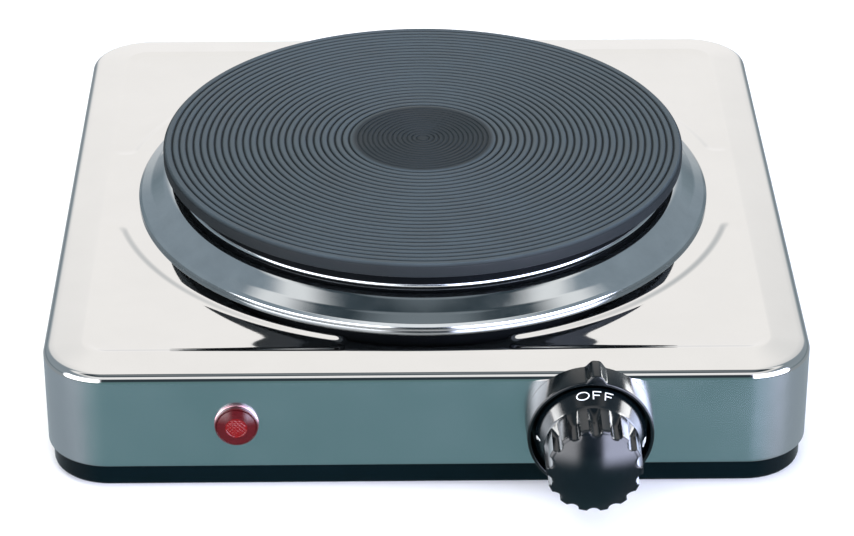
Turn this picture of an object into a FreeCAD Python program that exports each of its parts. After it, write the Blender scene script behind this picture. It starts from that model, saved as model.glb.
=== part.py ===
import FreeCAD, Part
import Sketcher
import math
import os

# A single-plate electric hot plate, as an assembly of separate pieces, in millimetres.
#
# +Z is up and the knob faces -Y. The origin is at the bottom centre of the whole appliance, under
# its feet. Each piece is drawn about the middle of the housing and placed with the same shift in
# Y, because the knob reaches further out in front than the cord gland does behind.

SIZES = [
    # alias, value, what it measures
    ("side_margin", 33.5, "housing outside the cooking plate, across X"),
    ("end_margin", 34.0, "housing outside the cooking plate, across Y"),
    ("body_corner", 21.0, "plan radius of the housing's corners"),
    ("sheet", 0.6, "thickness of the housing's stainless sheet"),
    ("deck_height", 44.0, "top of the deck above the table"),
    ("skirt_height", 8.9, "lower edge of the housing above the table"),
    ("edge_fillet", 2.5, "radius between wall and deck"),
    ("border_width", 13.0, "sloping border of the deck"),
    ("border_drop", 1.4, "fall of the border to the wall"),
    ("dip_depth", 1.6, "depth of the pressed corner pockets"),
    ("dip_slope", 3.4, "width of the pockets' sloping sides"),
    ("plateau_margin", 5.7, "flat deck outside the trim ring"),
    ("bridge_half", 25.5, "flat deck between two pockets, from the middle line"),
    ("well_margin", 13.1, "deck covered by the trim ring"),
    ("hem_height", 5.0, "folded lower edge of the housing"),
    ("foot_drop", 1.0, "height of the feet under the base pan"),
    ("foot_inset", 24.0, "foot centre from the housing's walls"),
    ("foot_radius", 7.0, "rubber foot"),
    ("foot_neck", 3.0, "rubber foot where it passes the pan"),
    ("foot_bulb", 4.2, "rubber foot's head inside the pan"),
    ("pan_sheet", 0.8, "thickness of the base pan"),
    ("pan_height", 11.0, "height of the base pan's wall"),
    ("pan_gap", 0.3, "base pan's wall inside the folded edge"),
    ("pan_edge", 1.5, "radius under the base pan's edge"),
    ("vent_length", 52.0, "vent slot"),
    ("vent_width", 3.0, "vent slot"),
    ("vent_pitch", 11.0, "vent slots apart"),
    ("vent_first", 22.0, "first vent slot from the middle"),
    ("vent_count", 5, "vent slots on each side"),
    ("post_inset", 38.0, "screw post centre from the housing's walls"),
    ("post_radius", 4.0, "screw post"),
    ("screw_radius", 1.7, "base screw"),
    ("screw_head", 3.5, "base screw's head"),
    ("screw_head_height", 0.8, "base screw's head"),
    ("screw_length", 12.0, "base screw in its post"),
    ("plate_radius", 90.0, "cooking plate"),
    ("plate_rise", 19.4, "cooking surface above the deck"),
    ("rim_height", 4.8, "cooking plate's rim"),
    ("rim_overhang", 6.0, "rim outside the plate's neck"),
    ("rim_bevel", 1.0, "bevel round the cooking surface"),
    ("casting_height", 14.0, "whole height of the cast plate"),
    ("plate_crown", 6.4, "iron above the heated channel"),
    ("channel_inner", 30.0, "inner radius of the heated channel"),
    ("channel_wall", 6.0, "iron outside the heated channel"),
    ("groove_pitch", 2.45, "outer cooking grooves"),
    ("groove_depth", 0.5, "outer cooking grooves"),
    ("fine_radius", 25.0, "zone of fine grooves"),
    ("fine_pitch", 1.7, "fine grooves"),
    ("fine_depth", 0.35, "fine grooves"),
    ("coil_first", 40.0, "innermost heating coil"),
    ("coil_pitch", 14.0, "heating coils apart"),
    ("coil_radius", 2.2, "section of a heating coil"),
    ("lead_radius", 1.2, "coil lead"),
    ("lead_offset", 8.0, "coil lead from the middle"),
    ("cover_sheet", 0.8, "plate cover"),
    ("cover_radius", 80.0, "plate cover"),
    ("neck_gap", 0.4, "plate's neck inside the trim ring"),
    ("lip_width", 3.2, "flat lip of the trim ring"),
    ("lip_rise", 8.2, "lip of the trim ring above the deck"),
    ("flank_width", 10.9, "trim ring outside its lip"),
    ("shoulder_width", 2.2, "rounded shoulder of the trim ring"),
    ("flare_width", 4.1, "flared foot of the trim ring"),
    ("flare_rise", 1.7, "flared foot above the rolled edge"),
    ("roll_width", 1.3, "rolled edge of the trim ring"),
    ("roll_height", 2.3, "rolled edge of the trim ring"),
    ("roll_radius", 1.6, "section radius of the rolled edge"),
    ("stud_radius", 3.0, "centre stud"),
    ("stud_depth", 8.0, "centre stud in the casting"),
    ("strap_width", 24.0, "clamp strap"),
    ("strap_sheet", 1.5, "clamp strap"),
    ("strap_sag", 7.4, "middle of the strap under its ends"),
    ("strap_foot", 9.0, "strap's ends under the deck"),
    ("shield_sheet", 0.5, "heat shield"),
    ("shield_radius", 70.0, "flat of the heat shield"),
    ("shield_rim", 5.0, "rim of the heat shield"),
    ("washer_radius", 8.0, "stud washer"),
    ("washer_sheet", 1.0, "stud washer"),
    ("nut_flats", 10.0, "stud nut across flats"),
    ("nut_height", 5.0, "stud nut"),
    ("block_length", 30.0, "plate's ceramic block"),
    ("block_depth", 14.0, "plate's ceramic block"),
    ("block_height", 9.0, "plate's ceramic block"),
    ("terminal_radius", 3.0, "plate terminal"),
    ("terminal_height", 5.0, "plate terminal"),
    ("knob_place", 51.5, "knob axis to the right of the middle"),
    ("axis_height", 25.0, "knob axis and pilot lamp above the table"),
    ("collar_radius", 20.85, "knob collar"),
    ("collar_depth", 9.2, "knob collar"),
    ("collar_wall", 1.7, "knob collar"),
    ("collar_floor", 1.5, "knob collar against the wall"),
    ("nub_width", 6.0, "pointer on the collar"),
    ("nub_rise", 1.9, "pointer on the collar"),
    ("knob_gap", 1.2, "knob's skirt inside the collar"),
    ("knob_back", 8.0, "knob's skirt from the wall"),
    ("knob_reach", 32.6, "knob's face from the wall"),
    ("grip_start", 16.8, "grip from the wall"),
    ("grip_inset", 2.75, "knob's grip inside its skirt"),
    ("flute_depth", 1.9, "flutes of the grip"),
    ("flute_radius", 2.1, "flutes of the grip"),
    ("flute_count", 14, "flutes of the grip"),
    ("cap_inset", 2.0, "knob's domed cap inside its grip"),
    ("cap_rise", 3.2, "knob's domed cap"),
    ("knob_wall", 2.0, "knob's skirt"),
    ("hub_radius", 6.0, "knob's hub"),
    ("spindle_radius", 3.0, "thermostat spindle"),
    ("spindle_reach", 22.0, "spindle from the wall"),
    ("flat_depth", 1.0, "spindle's flat under its round surface"),
    ("clip_sheet", 0.5, "spring clip on the flat"),
    ("run_gap", 0.05, "running clearance of shaft and pin"),
    ("bush_radius", 4.5, "threaded bush"),
    ("bush_flange", 7.0, "flange of the bush"),
    ("bush_flange_sheet", 2.2, "flange of the bush"),
    ("bush_nut_flats", 13.0, "nut on the bush, across flats"),
    ("bush_nut_height", 3.0, "nut on the bush"),
    ("hole_gap", 0.1, "holes round what passes them"),
    ("frame_sheet", 1.2, "thermostat frame"),
    ("frame_left", 34.0, "thermostat frame, left of its axis"),
    ("frame_right", 14.0, "thermostat frame, right of its axis"),
    ("frame_up", 14.0, "thermostat frame above its axis"),
    ("frame_down", 10.0, "thermostat frame under its axis"),
    ("frame_depth", 15.6, "thermostat frame"),
    ("cam_high", 9.0, "cam at its highest"),
    ("cam_fall", 0.6, "fall of the cam per sixth of a turn"),
    ("cam_width", 4.0, "cam"),
    ("cam_back", 9.0, "cam's rear face from the wall"),
    ("follow_gap", 0.3, "contact arm above the cam"),
    ("arm_length", 24.0, "arm's pivot left of the cam"),
    ("arm_tip", 3.0, "arm past the cam's middle"),
    ("arm_sheet", 1.5, "contact arm"),
    ("arm_eye", 2.4, "contact arm's eye"),
    ("arm_pivot_rise", 10.0, "arm's pivot above the axis"),
    ("pin_radius", 1.2, "arm's pivot pin"),
    ("contact_radius", 1.5, "contact rivets"),
    ("contact_place", 12.0, "contacts left of the cam"),
    ("contact_height", 1.0, "moving contact"),
    ("strip_height", 4.8, "bimetal strip above the axis"),
    ("strip_sheet", 0.8, "bimetal strip"),
    ("strip_width", 5.0, "bimetal strip"),
    ("insulator_width", 7.0, "thermostat's ceramic insulator"),
    ("tab_width", 6.3, "push-on terminals"),
    ("tab_sheet", 0.8, "push-on terminals"),
    ("tab_reach", 8.0, "push-on terminals past the frame"),
    ("rivet_radius", 1.0, "rivets"),
    ("top_tab_inset", 2.4, "upper terminal's rivet from the frame's end"),
    ("lamp_place", 61.0, "pilot lamp to the left of the middle"),
    ("lamp_flange", 7.15, "pilot lamp's bezel"),
    ("lamp_bezel", 0.8, "pilot lamp's bezel"),
    ("lamp_lens", 6.6, "pilot lamp's lens"),
    ("lamp_reach", 3.0, "pilot lamp from the wall"),
    ("lens_face", 1.4, "thickness of the lens's face"),
    ("lamp_tube", 5.4, "pilot lamp's body"),
    ("lamp_wall", 1.0, "pilot lamp's body"),
    ("lamp_length", 24.0, "pilot lamp's body"),
    ("bulb_radius", 2.6, "neon bulb"),
    ("bulb_length", 10.0, "neon bulb"),
    ("bulb_lead", 0.3, "leads of the bulb and its resistor"),
    ("resistor_radius", 0.9, "lamp's resistor"),
    ("gland_place", 60.0, "cord gland to the left of the middle"),
    ("gland_bore", 3.6, "cord gland's bore"),
    ("gland_thread", 6.0, "cord gland in the wall"),
    ("gland_flange", 9.0, "cord gland outside the wall"),
    ("gland_reach", 6.0, "cord gland from the wall"),
    ("gland_length", 9.0, "cord gland inside the wall"),
    ("strip_block_length", 42.0, "mains block"),
    ("strip_block_depth", 18.0, "mains block"),
    ("strip_block_height", 15.0, "mains block"),
    ("strip_block_back", 44.0, "mains block from the rear wall"),
    ("way_pitch", 12.0, "mains block's ways"),
    ("way_height", 7.0, "mains block's ways above the pan"),
    ("sleeve_radius", 2.4, "mains block's sleeves"),
    ("clamp_radius", 1.5, "mains block's clamp screws"),
    ("clamp_bite", 0.5, "clamp screws in their sleeves"),
    ("fixing_head", 2.5, "heads of the mains block's fixing screws"),
    ("wire_radius", 1.1, "inner wires"),
    ("thin_wire_radius", 0.7, "lamp's wires"),
    ("wire_bend", 11.0, "bends of the inner wires"),
    ("wire_entry", 4.0, "wires in their sleeves"),
    ("earth_x", -20.0, "earth screw, from the middle"),
    ("earth_y", 66.0, "earth screw, from the middle"),
    ("earth_screw", 2.0, "earth screw"),
    ("earth_nut_flats", 7.0, "earth nut across flats"),
]

CAM_LOW = 320  # degrees after which the cam climbs back

doc = FreeCAD.newDocument("hot_plate_burner")
nodes = []


class Size:
    """A size with its number and with the spreadsheet expression that gives the same number."""

    def __init__(self, number, text):
        self.number = number
        self.text = text

    def __float__(self):
        return float(self.number)

    def __add__(self, other):
        return joined(self, "+", other, float(self) + float(other))

    def __radd__(self, other):
        return joined(other, "+", self, float(other) + float(self))

    def __sub__(self, other):
        return joined(self, "-", other, float(self) - float(other))

    def __rsub__(self, other):
        return joined(other, "-", self, float(other) - float(self))

    def __mul__(self, other):
        return joined(self, "*", other, float(self) * float(other))

    def __rmul__(self, other):
        return joined(other, "*", self, float(other) * float(self))

    def __truediv__(self, other):
        return joined(self, "/", other, float(self) / float(other))

    def __neg__(self):
        return Size(-float(self), f"(-{self.text})")


def text_of(value):
    """The expression of a size, or a plain number as text."""
    return value.text if isinstance(value, Size) else f"({value})"


def joined(left, sign, right, number):
    """The size that two values give together."""
    return Size(number, f"({text_of(left)} {sign} {text_of(right)})")


def root(value):
    """The square root of a size."""
    return Size(math.sqrt(float(value)), f"sqrt({value.text})")


class Named:
    """The named sizes, read as attributes."""


def make_sheet():
    """Write the sizes into the document's spreadsheet, and return them by name."""
    sheet = doc.addObject("Spreadsheet::Sheet", "Sizes")
    named = Named()
    for row, (alias, value, note) in enumerate(SIZES, start=1):
        sheet.set(f"A{row}", alias)
        sheet.set(f"B{row}", str(value))
        sheet.set(f"C{row}", note)
        sheet.setAlias(f"B{row}", alias)
    doc.recompute()
    for alias, _, _ in SIZES:
        setattr(named, alias, Size(getattr(sheet, alias), f"Sizes.{alias}"))
    return named


S = make_sheet()

# Places worked out from the sizes, about the middle of the housing.
BODY_WIDTH = (S.plate_radius + S.side_margin) * 2
BODY_DEPTH = (S.plate_radius + S.end_margin) * 2
SHIFT = (S.knob_reach - S.gland_reach) / 2
FRONT = -BODY_DEPTH / 2
REAR = BODY_DEPTH / 2
PLATE_TOP = S.deck_height + S.plate_rise
PAN_TOP = S.foot_drop + S.pan_sheet
PAN_INSET = S.sheet * 2 + S.pan_gap
DECK_UNDER = S.deck_height - S.sheet
DIP_UNDER = DECK_UNDER - S.dip_depth
RIM_UNDER = PLATE_TOP - S.rim_height
CASTING_UNDER = PLATE_TOP - S.casting_height
COVER_UNDER = CASTING_UNDER - S.cover_sheet
NECK = S.plate_radius - S.rim_overhang
RING_COLLAR = NECK + S.neck_gap
LIP_RADIUS = RING_COLLAR + S.sheet + S.lip_width
RING_RADIUS = LIP_RADIUS + S.flank_width
WELL_RADIUS = RING_RADIUS - S.well_margin
PLATEAU = RING_RADIUS + S.plateau_margin
CHANNEL_TOP = PLATE_TOP - S.plate_crown
CHANNEL_OUTER = NECK - S.channel_wall
COIL_HEIGHT = (CHANNEL_TOP + CASTING_UNDER) / 2
LEAD_Y = root(S.coil_first * S.coil_first - S.lead_offset * S.lead_offset)
STRAP_TOP = DECK_UNDER - S.strap_sag
SHIELD_TOP = STRAP_TOP + S.shield_sheet
BLOCK_UNDER = COVER_UNDER - S.block_height
TERMINAL_UNDER = BLOCK_UNDER - S.terminal_height
COLLAR_INNER = S.collar_radius - S.collar_wall
SKIRT_RADIUS = COLLAR_INNER - S.knob_gap
GRIP_RADIUS = SKIRT_RADIUS - S.grip_inset
CAP_RADIUS = GRIP_RADIUS - S.cap_inset
SPINDLE_HOLE = S.spindle_radius + S.run_gap
SPINDLE_FLAT = S.spindle_radius - S.flat_depth
FRAME_BACK = -S.sheet - S.frame_depth
ARM_UNDER = S.cam_high + S.follow_gap
STRIP_TOP = S.strip_height + S.strip_sheet
TAB_END = -S.frame_left - S.tab_reach
TAB_LOW = -S.frame_down + S.frame_sheet
BLOCK_Y = REAR - S.strip_block_back
WAY_Z = PAN_TOP + S.way_height
LAMP_BACK = FRONT + S.lamp_length + S.tab_reach

FACING_FRONT = FreeCAD.Rotation(FreeCAD.Vector(1, 0, 0), 90)  # drawn flat, +Z turned to -Y
FACING_REAR = FreeCAD.Rotation(FreeCAD.Vector(1, 0, 0), -90)  # drawn flat, +Z turned to +Y
UPRIGHT = FreeCAD.Rotation()
PRIMITIVES = ("Part::Box", "Part::Cylinder")  # these keep their own place inside a group


def bind(thing, name, value):
    """Bind a property to a size, or set it to a plain number."""
    if isinstance(value, Size):
        thing.setExpression(name, value.text)
    elif "." not in name:
        setattr(thing, name, value)


def place(thing, x=0, y=0, z=0, turn=UPRIGHT):
    """Place a thing, with each coordinate bound to its size."""
    base = FreeCAD.Vector(float(x), float(y), float(z))
    thing.Placement = FreeCAD.Placement(base, turn)
    for axis, value in (("x", x), ("y", y), ("z", z)):
        bind(thing, f"Placement.Base.{axis}", value)
    return thing


def node(thing, name, x=0, y=0, z=0, turn=UPRIGHT):
    """Name a finished piece and place it in the appliance's frame."""
    if thing.TypeId in PRIMITIVES:
        thing = group(f"{name}_solid", [thing])
    thing.Label = name
    place(thing, x, y + SHIFT, z, turn)
    nodes.append(thing)
    return thing


def fresh(kind, name):
    """A new object of the document."""
    return doc.addObject(kind, name)


def cylinder(name, radius, low, high, x=0, y=0):
    """An upright cylinder between two heights."""
    thing = fresh("Part::Cylinder", name)
    bind(thing, "Radius", radius)
    bind(thing, "Height", high - low)
    return place(thing, x, y, low)


def box(name, low, high):
    """A box between two corners."""
    thing = fresh("Part::Box", name)
    for prop, a, b in zip(("Length", "Width", "Height"), low, high):
        bind(thing, prop, b - a)
    return place(thing, *low)


def prism(name, flats, low, high, x=0, y=0):
    """An upright hexagon, such as a nut, by its width across flats."""
    thing = fresh("Part::Prism", name)
    thing.Polygon = 6
    bind(thing, "Circumradius", flats / math.sqrt(3))
    bind(thing, "Height", high - low)
    return place(thing, x, y, low)


def cut(name, base, tool):
    """One solid less another."""
    thing = fresh("Part::Cut", name)
    thing.Base = base
    thing.Tool = tool
    return thing


def fuse(name, parts):
    """Several solids as one."""
    thing = fresh("Part::MultiFuse", name)
    thing.Shapes = parts
    thing.Refine = True
    return thing


def group(name, parts):
    """Several separate solids of one kind."""
    thing = fresh("Part::Compound", name)
    thing.Links = parts
    return thing


def tube(name, outer, inner, low, high, x=0, y=0):
    """An upright tube between two heights."""
    bore = cylinder(f"{name}_bore", inner, low, high, x, y)
    return cut(name, cylinder(f"{name}_outside", outer, low, high, x, y), bore)


def new_body(name):
    """An empty PartDesign body."""
    return fresh("PartDesign::Body", name)


def new_sketch(body, name, role="XY_Plane", offset=None):
    """A sketch on one of the body's own planes, moved along the plane's normal by offset."""
    sketch = body.newObject("Sketcher::SketchObject", name)
    plane = [one for one in body.Origin.OriginFeatures if one.Role == role][0]
    sketch.AttachmentSupport = (plane, [""])
    sketch.MapMode = "FlatFace"
    if offset is not None:
        bind(sketch, "AttachmentOffset.Base.z", offset)
    return sketch


def bind_datum(sketch, constraint, name, size):
    """Add a dimension to a sketch and bind it to its size."""
    index = sketch.addConstraint(constraint)
    if isinstance(size, Size):
        sketch.renameConstraint(index, name)
        sketch.setExpression(f"Constraints.{name}", size.text)


def add_edge(sketch, start, end, radius):
    """Add a line, or an arc of that radius, and return its number and its two end points.

    A positive radius puts the arc's centre to the left of the way from start to end.
    """
    x0, y0 = float(start[0]), float(start[1])
    x1, y1 = float(end[0]), float(end[1])
    a, b = FreeCAD.Vector(x0, y0, 0), FreeCAD.Vector(x1, y1, 0)
    if radius is None:
        return sketch.addGeometry(Part.LineSegment(a, b), False), 1, 2
    length = math.hypot(x1 - x0, y1 - y0)
    rise = math.sqrt(float(radius) ** 2 - (length / 2) ** 2)
    side = math.copysign(rise / length, float(radius))
    centre = FreeCAD.Vector((x0 + x1) / 2 - side * (y1 - y0), (y0 + y1) / 2 + side * (x1 - x0), 0)
    circle = Part.Circle(centre, FreeCAD.Vector(0, 0, 1), abs(float(radius)))
    angles = [math.atan2(point.y - centre.y, point.x - centre.x) for point in (a, b)]
    if float(radius) > 0:
        return sketch.addGeometry(Part.ArcOfCircle(circle, angles[0], angles[1]), False), 1, 2
    return sketch.addGeometry(Part.ArcOfCircle(circle, angles[1], angles[0]), False), 2, 1


def outline(sketch, corners):
    """Draw a closed outline through corners (x, y), or (x, y, radius) where an arc follows."""
    corners = [corner if len(corner) == 3 else (*corner, None) for corner in corners]
    edges = []
    for start, end in zip(corners, corners[1:] + corners[:1]):
        edges.append(add_edge(sketch, start, end, start[2]))
    for one, after in zip(edges, edges[1:] + edges[:1]):
        sketch.addConstraint(Sketcher.Constraint("Coincident", one[0], one[2], after[0], after[1]))
    for count, ((number, first, _), (x, y, radius)) in enumerate(zip(edges, corners)):
        across = Sketcher.Constraint("DistanceX", -1, 1, number, first, float(x))
        bind_datum(sketch, across, f"x{count}", x)
        up = Sketcher.Constraint("DistanceY", -1, 1, number, first, float(y))
        bind_datum(sketch, up, f"y{count}", y)
        if radius is not None:
            size = radius if float(radius) > 0 else -radius
            bend = Sketcher.Constraint("Radius", number, float(size))
            bind_datum(sketch, bend, f"r{count}", size)


def rounded(width, depth, corner):
    """The corners of a rectangle with rounded corners, about the middle."""
    x, y = width / 2, depth / 2
    return [
        (-x + corner, -y),
        (x - corner, -y, corner),
        (x, -y + corner),
        (x, y - corner, corner),
        (x - corner, y),
        (-x + corner, y, corner),
        (-x, y - corner),
        (-x, -y + corner, corner),
    ]


def circles(sketch, radius, centres):
    """Draw a circle of one radius at each centre."""
    for count, (x, y) in enumerate(centres):
        middle = FreeCAD.Vector(float(x), float(y), 0)
        circle = Part.Circle(middle, FreeCAD.Vector(0, 0, 1), float(radius))
        number = sketch.addGeometry(circle, False)
        bind_datum(sketch, Sketcher.Constraint("Radius", number, float(radius)), f"r{count}", radius)
        across = Sketcher.Constraint("DistanceX", -1, 1, number, 3, float(x))
        bind_datum(sketch, across, f"x{count}", x)
        up = Sketcher.Constraint("DistanceY", -1, 1, number, 3, float(y))
        bind_datum(sketch, up, f"y{count}", y)


def pad(body, sketch, length):
    """Extrude a sketch upwards."""
    feature = body.newObject("PartDesign::Pad", f"{sketch.Name}_pad")
    feature.Profile = sketch
    bind(feature, "Length", length)
    return feature


def pocket(body, sketch, length=None, upwards=False):
    """Cut a sketch into the body by a length, or through it, and check that it cut something."""
    doc.recompute()
    before = body.Shape.Volume
    feature = body.newObject("PartDesign::Pocket", f"{sketch.Name}_pocket")
    feature.Profile = sketch
    feature.Reversed = upwards
    if length is None:
        feature.Type = 1
    else:
        bind(feature, "Length", length)
    doc.recompute()
    if body.Shape.Volume > before - 0.01:
        raise RuntimeError(f"{feature.Name} cuts nothing")
    return feature


def revolved(name, corners):
    """A body turned about its Z axis from an outline of (radius, height) corners."""
    body = new_body(name)
    sketch = new_sketch(body, f"{name}_profile", "XZ_Plane")
    outline(sketch, corners)
    feature = body.newObject("PartDesign::Revolution", f"{name}_turned")
    feature.Profile = sketch
    feature.ReferenceAxis = (sketch, ["V_Axis"])
    feature.Angle = 360
    return body


def rounded_pad(name, width, depth, corner, low, height):
    """A body that is a rounded rectangle with a height, standing at low."""
    body = new_body(name)
    sketch = new_sketch(body, f"{name}_outline", offset=low)
    outline(sketch, rounded(width, depth, corner))
    pad(body, sketch, height)
    return body


def round_edges_at(body, height, radius):
    """Round the edges of a body that lie flat at a height."""
    doc.recompute()
    base = body.Tip
    names = []
    for count, edge in enumerate(base.Shape.Edges, start=1):
        bounds = edge.BoundBox
        if abs(bounds.ZMin - float(height)) < 1e-4 and abs(bounds.ZMax - float(height)) < 1e-4:
            names.append(f"Edge{count}")
    feature = body.newObject("PartDesign::Fillet", f"{body.Name}_fillet")
    feature.Base = (base, names)
    bind(feature, "Radius", radius)
    return feature


def four(x, y):
    """The four places that mirror (x, y) about both middle lines."""
    return [(side * x, end * y) for side in (-1, 1) for end in (-1, 1)]


def route(points, bend):
    """A wire path of straight runs joined by tangent arcs, shorter where the runs are short."""
    vectors = [FreeCAD.Vector(*(float(value) for value in point)) for point in points]
    edges = []
    here = vectors[0]
    for before, corner, after in zip(vectors, vectors[1:], vectors[2:]):
        back = (before - corner).normalize()
        forth = (after - corner).normalize()
        half = math.tan((math.pi - back.getAngle(forth)) / 2)
        reach = 0.45 * min((before - corner).Length, (after - corner).Length)
        reach = min(reach, float(bend) * half)
        begin = corner + back * reach
        end = corner + forth * reach
        radius = reach / half
        inward = (back + forth).normalize()
        middle = corner + inward * (math.hypot(radius, reach) - radius)
        edges.append(Part.LineSegment(here, begin).toShape())
        edges.append(Part.Arc(begin, middle, end).toShape())
        here = end
    edges.append(Part.LineSegment(here, vectors[-1]).toShape())
    return Part.Wire(edges)


def wire_tube(name, points, radius):
    """A wire's tube along its route, checked against its section times its length."""
    path = route(points, S.wire_bend)
    first, second = path.OrderedVertexes[0].Point, path.OrderedVertexes[1].Point
    section = Part.Wire(Part.Circle(first, second - first, float(radius)).toShape())
    shape = path.makePipeShell([section], True, False)
    expected = math.pi * float(radius) ** 2 * path.Length
    if abs(shape.Volume - expected) > 0.01 * expected:
        raise RuntimeError(f"{name} has the wrong volume")
    thing = fresh("Part::Feature", name)
    thing.Shape = shape
    return thing


# ---- housing -----------------------------------------------------------------------------------


def crease_outline(inset):
    """The rounded rectangle where the deck's border ends, moved inwards by inset."""
    width = BODY_WIDTH - S.border_width * 2
    depth = BODY_DEPTH - S.border_width * 2
    return rounded(width - inset * 2, depth - inset * 2, S.body_corner - S.border_width - inset)


def loft(body, name, low, low_corners, high, high_corners):
    """A straight-sided solid between two outlines."""
    bottom = new_sketch(body, f"{name}_low", offset=low)
    outline(bottom, low_corners)
    top = new_sketch(body, f"{name}_high", offset=high)
    outline(top, high_corners)
    feature = body.newObject("PartDesign::AdditiveLoft", name)
    feature.Profile = bottom
    feature.Sections = [top]
    feature.Ruled = True
    return feature


def deck_form(name, inset, low):
    """The housing as a solid block: walls, sloping border and flat deck, moved inwards."""
    width, depth = BODY_WIDTH - inset * 2, BODY_DEPTH - inset * 2
    corner = S.body_corner - inset
    edge = S.deck_height - S.border_drop - inset
    body = rounded_pad(name, width, depth, corner, low, edge - low)
    top = S.deck_height - inset
    loft(body, f"{name}_border", edge, rounded(width, depth, corner), top, crease_outline(0))
    round_edges_at(body, edge, S.edge_fillet - inset)
    return body


def deck_dips(name, top):
    """The four corner pockets: a tapered tray less the round plateau and the bridges across it."""
    tray = new_body(f"{name}_tray")
    low = top - S.dip_depth
    loft(tray, f"{name}_taper", low, crease_outline(S.dip_slope), top, crease_outline(0))
    plateau = fresh("Part::Cone", f"{name}_plateau")
    bind(plateau, "Radius1", PLATEAU + S.dip_slope)
    bind(plateau, "Radius2", PLATEAU)
    bind(plateau, "Height", S.dip_depth)
    place(plateau, 0, 0, low)
    across = deck_bridge(f"{name}_across", top, "XZ_Plane", BODY_DEPTH)
    along = deck_bridge(f"{name}_along", top, "YZ_Plane", BODY_WIDTH)
    return cut(name, tray, fuse(f"{name}_land", [plateau, across, along]))


def deck_bridge(name, top, plane, length):
    """A bar with sloping sides, as wide as the flat deck between two pockets."""
    low, half = top - S.dip_depth, S.bridge_half
    body = new_body(name)
    section = new_sketch(body, f"{name}_section", plane)
    foot = half + S.dip_slope
    outline(section, [(-foot, low), (foot, low), (half, top), (-half, top)])
    pad(body, section, length).Midplane = True
    return body


def make_housing():
    """The pressed stainless housing with its folded lower edge and its holes."""
    outside = cut(
        "housing_outside",
        deck_form("outer_form", 0, S.skirt_height),
        deck_dips("outer_dips", S.deck_height),
    )
    inside = cut(
        "housing_inside",
        deck_form("inner_form", S.sheet, S.skirt_height - S.sheet),
        deck_dips("inner_dips", DECK_UNDER),
    )
    hem_outer = rounded_pad(
        "hem_outer",
        BODY_WIDTH - S.sheet * 2,
        BODY_DEPTH - S.sheet * 2,
        S.body_corner - S.sheet,
        S.skirt_height,
        S.hem_height,
    )
    hem_inner = rounded_pad(
        "hem_inner",
        BODY_WIDTH - S.sheet * 4,
        BODY_DEPTH - S.sheet * 4,
        S.body_corner - S.sheet * 2,
        S.skirt_height - S.sheet,
        S.hem_height + S.sheet * 2,
    )
    shell = fuse("housing_shell", [cut("shell", outside, inside), cut("hem", hem_outer, hem_inner)])
    holes = [
        cylinder("well", WELL_RADIUS, DECK_UNDER - S.sheet, S.deck_height + S.sheet),
        wall_hole("bush_hole", S.bush_radius + S.hole_gap, S.knob_place, FRONT),
        wall_hole("lamp_hole", S.lamp_tube + S.hole_gap, -S.lamp_place, FRONT),
        wall_hole("gland_hole", S.gland_thread + S.hole_gap, -S.gland_place, REAR - S.sheet * 2),
    ]
    node(cut("housing", shell, fuse("housing_holes", holes)), "top_housing")


def wall_hole(name, radius, x, y):
    """A tool for a round hole through the front or the rear wall."""
    thing = fresh("Part::Cylinder", name)
    bind(thing, "Radius", radius)
    bind(thing, "Height", S.sheet * 3)
    return place(thing, x, y - S.sheet / 2, S.axis_height, FACING_REAR)


def make_posts():
    """Four posts welded under the pockets, and the screws that hold the base pan to them."""
    posts, screws = [], []
    x, y = BODY_WIDTH / 2 - S.post_inset, BODY_DEPTH / 2 - S.post_inset
    for count, (px, py) in enumerate(four(x, y)):
        post = cylinder(f"post_{count}", S.post_radius, PAN_TOP, DIP_UNDER, px, py)
        bore = cylinder(f"post_bore_{count}", S.screw_radius, PAN_TOP, PAN_TOP + S.screw_length, px, py)
        posts.append(cut(f"post_bored_{count}", post, bore))
        head_low = S.foot_drop - S.screw_head_height
        head = cylinder(f"screw_head_{count}", S.screw_head, head_low, S.foot_drop, px, py)
        shank_top = PAN_TOP + S.screw_length
        shank = cylinder(f"screw_shank_{count}", S.screw_radius, S.foot_drop, shank_top, px, py)
        screws.append(fuse(f"screw_{count}", [head, shank]))
    node(group("posts", posts), "housing_posts")
    node(group("screws", screws), "base_screws")


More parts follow.
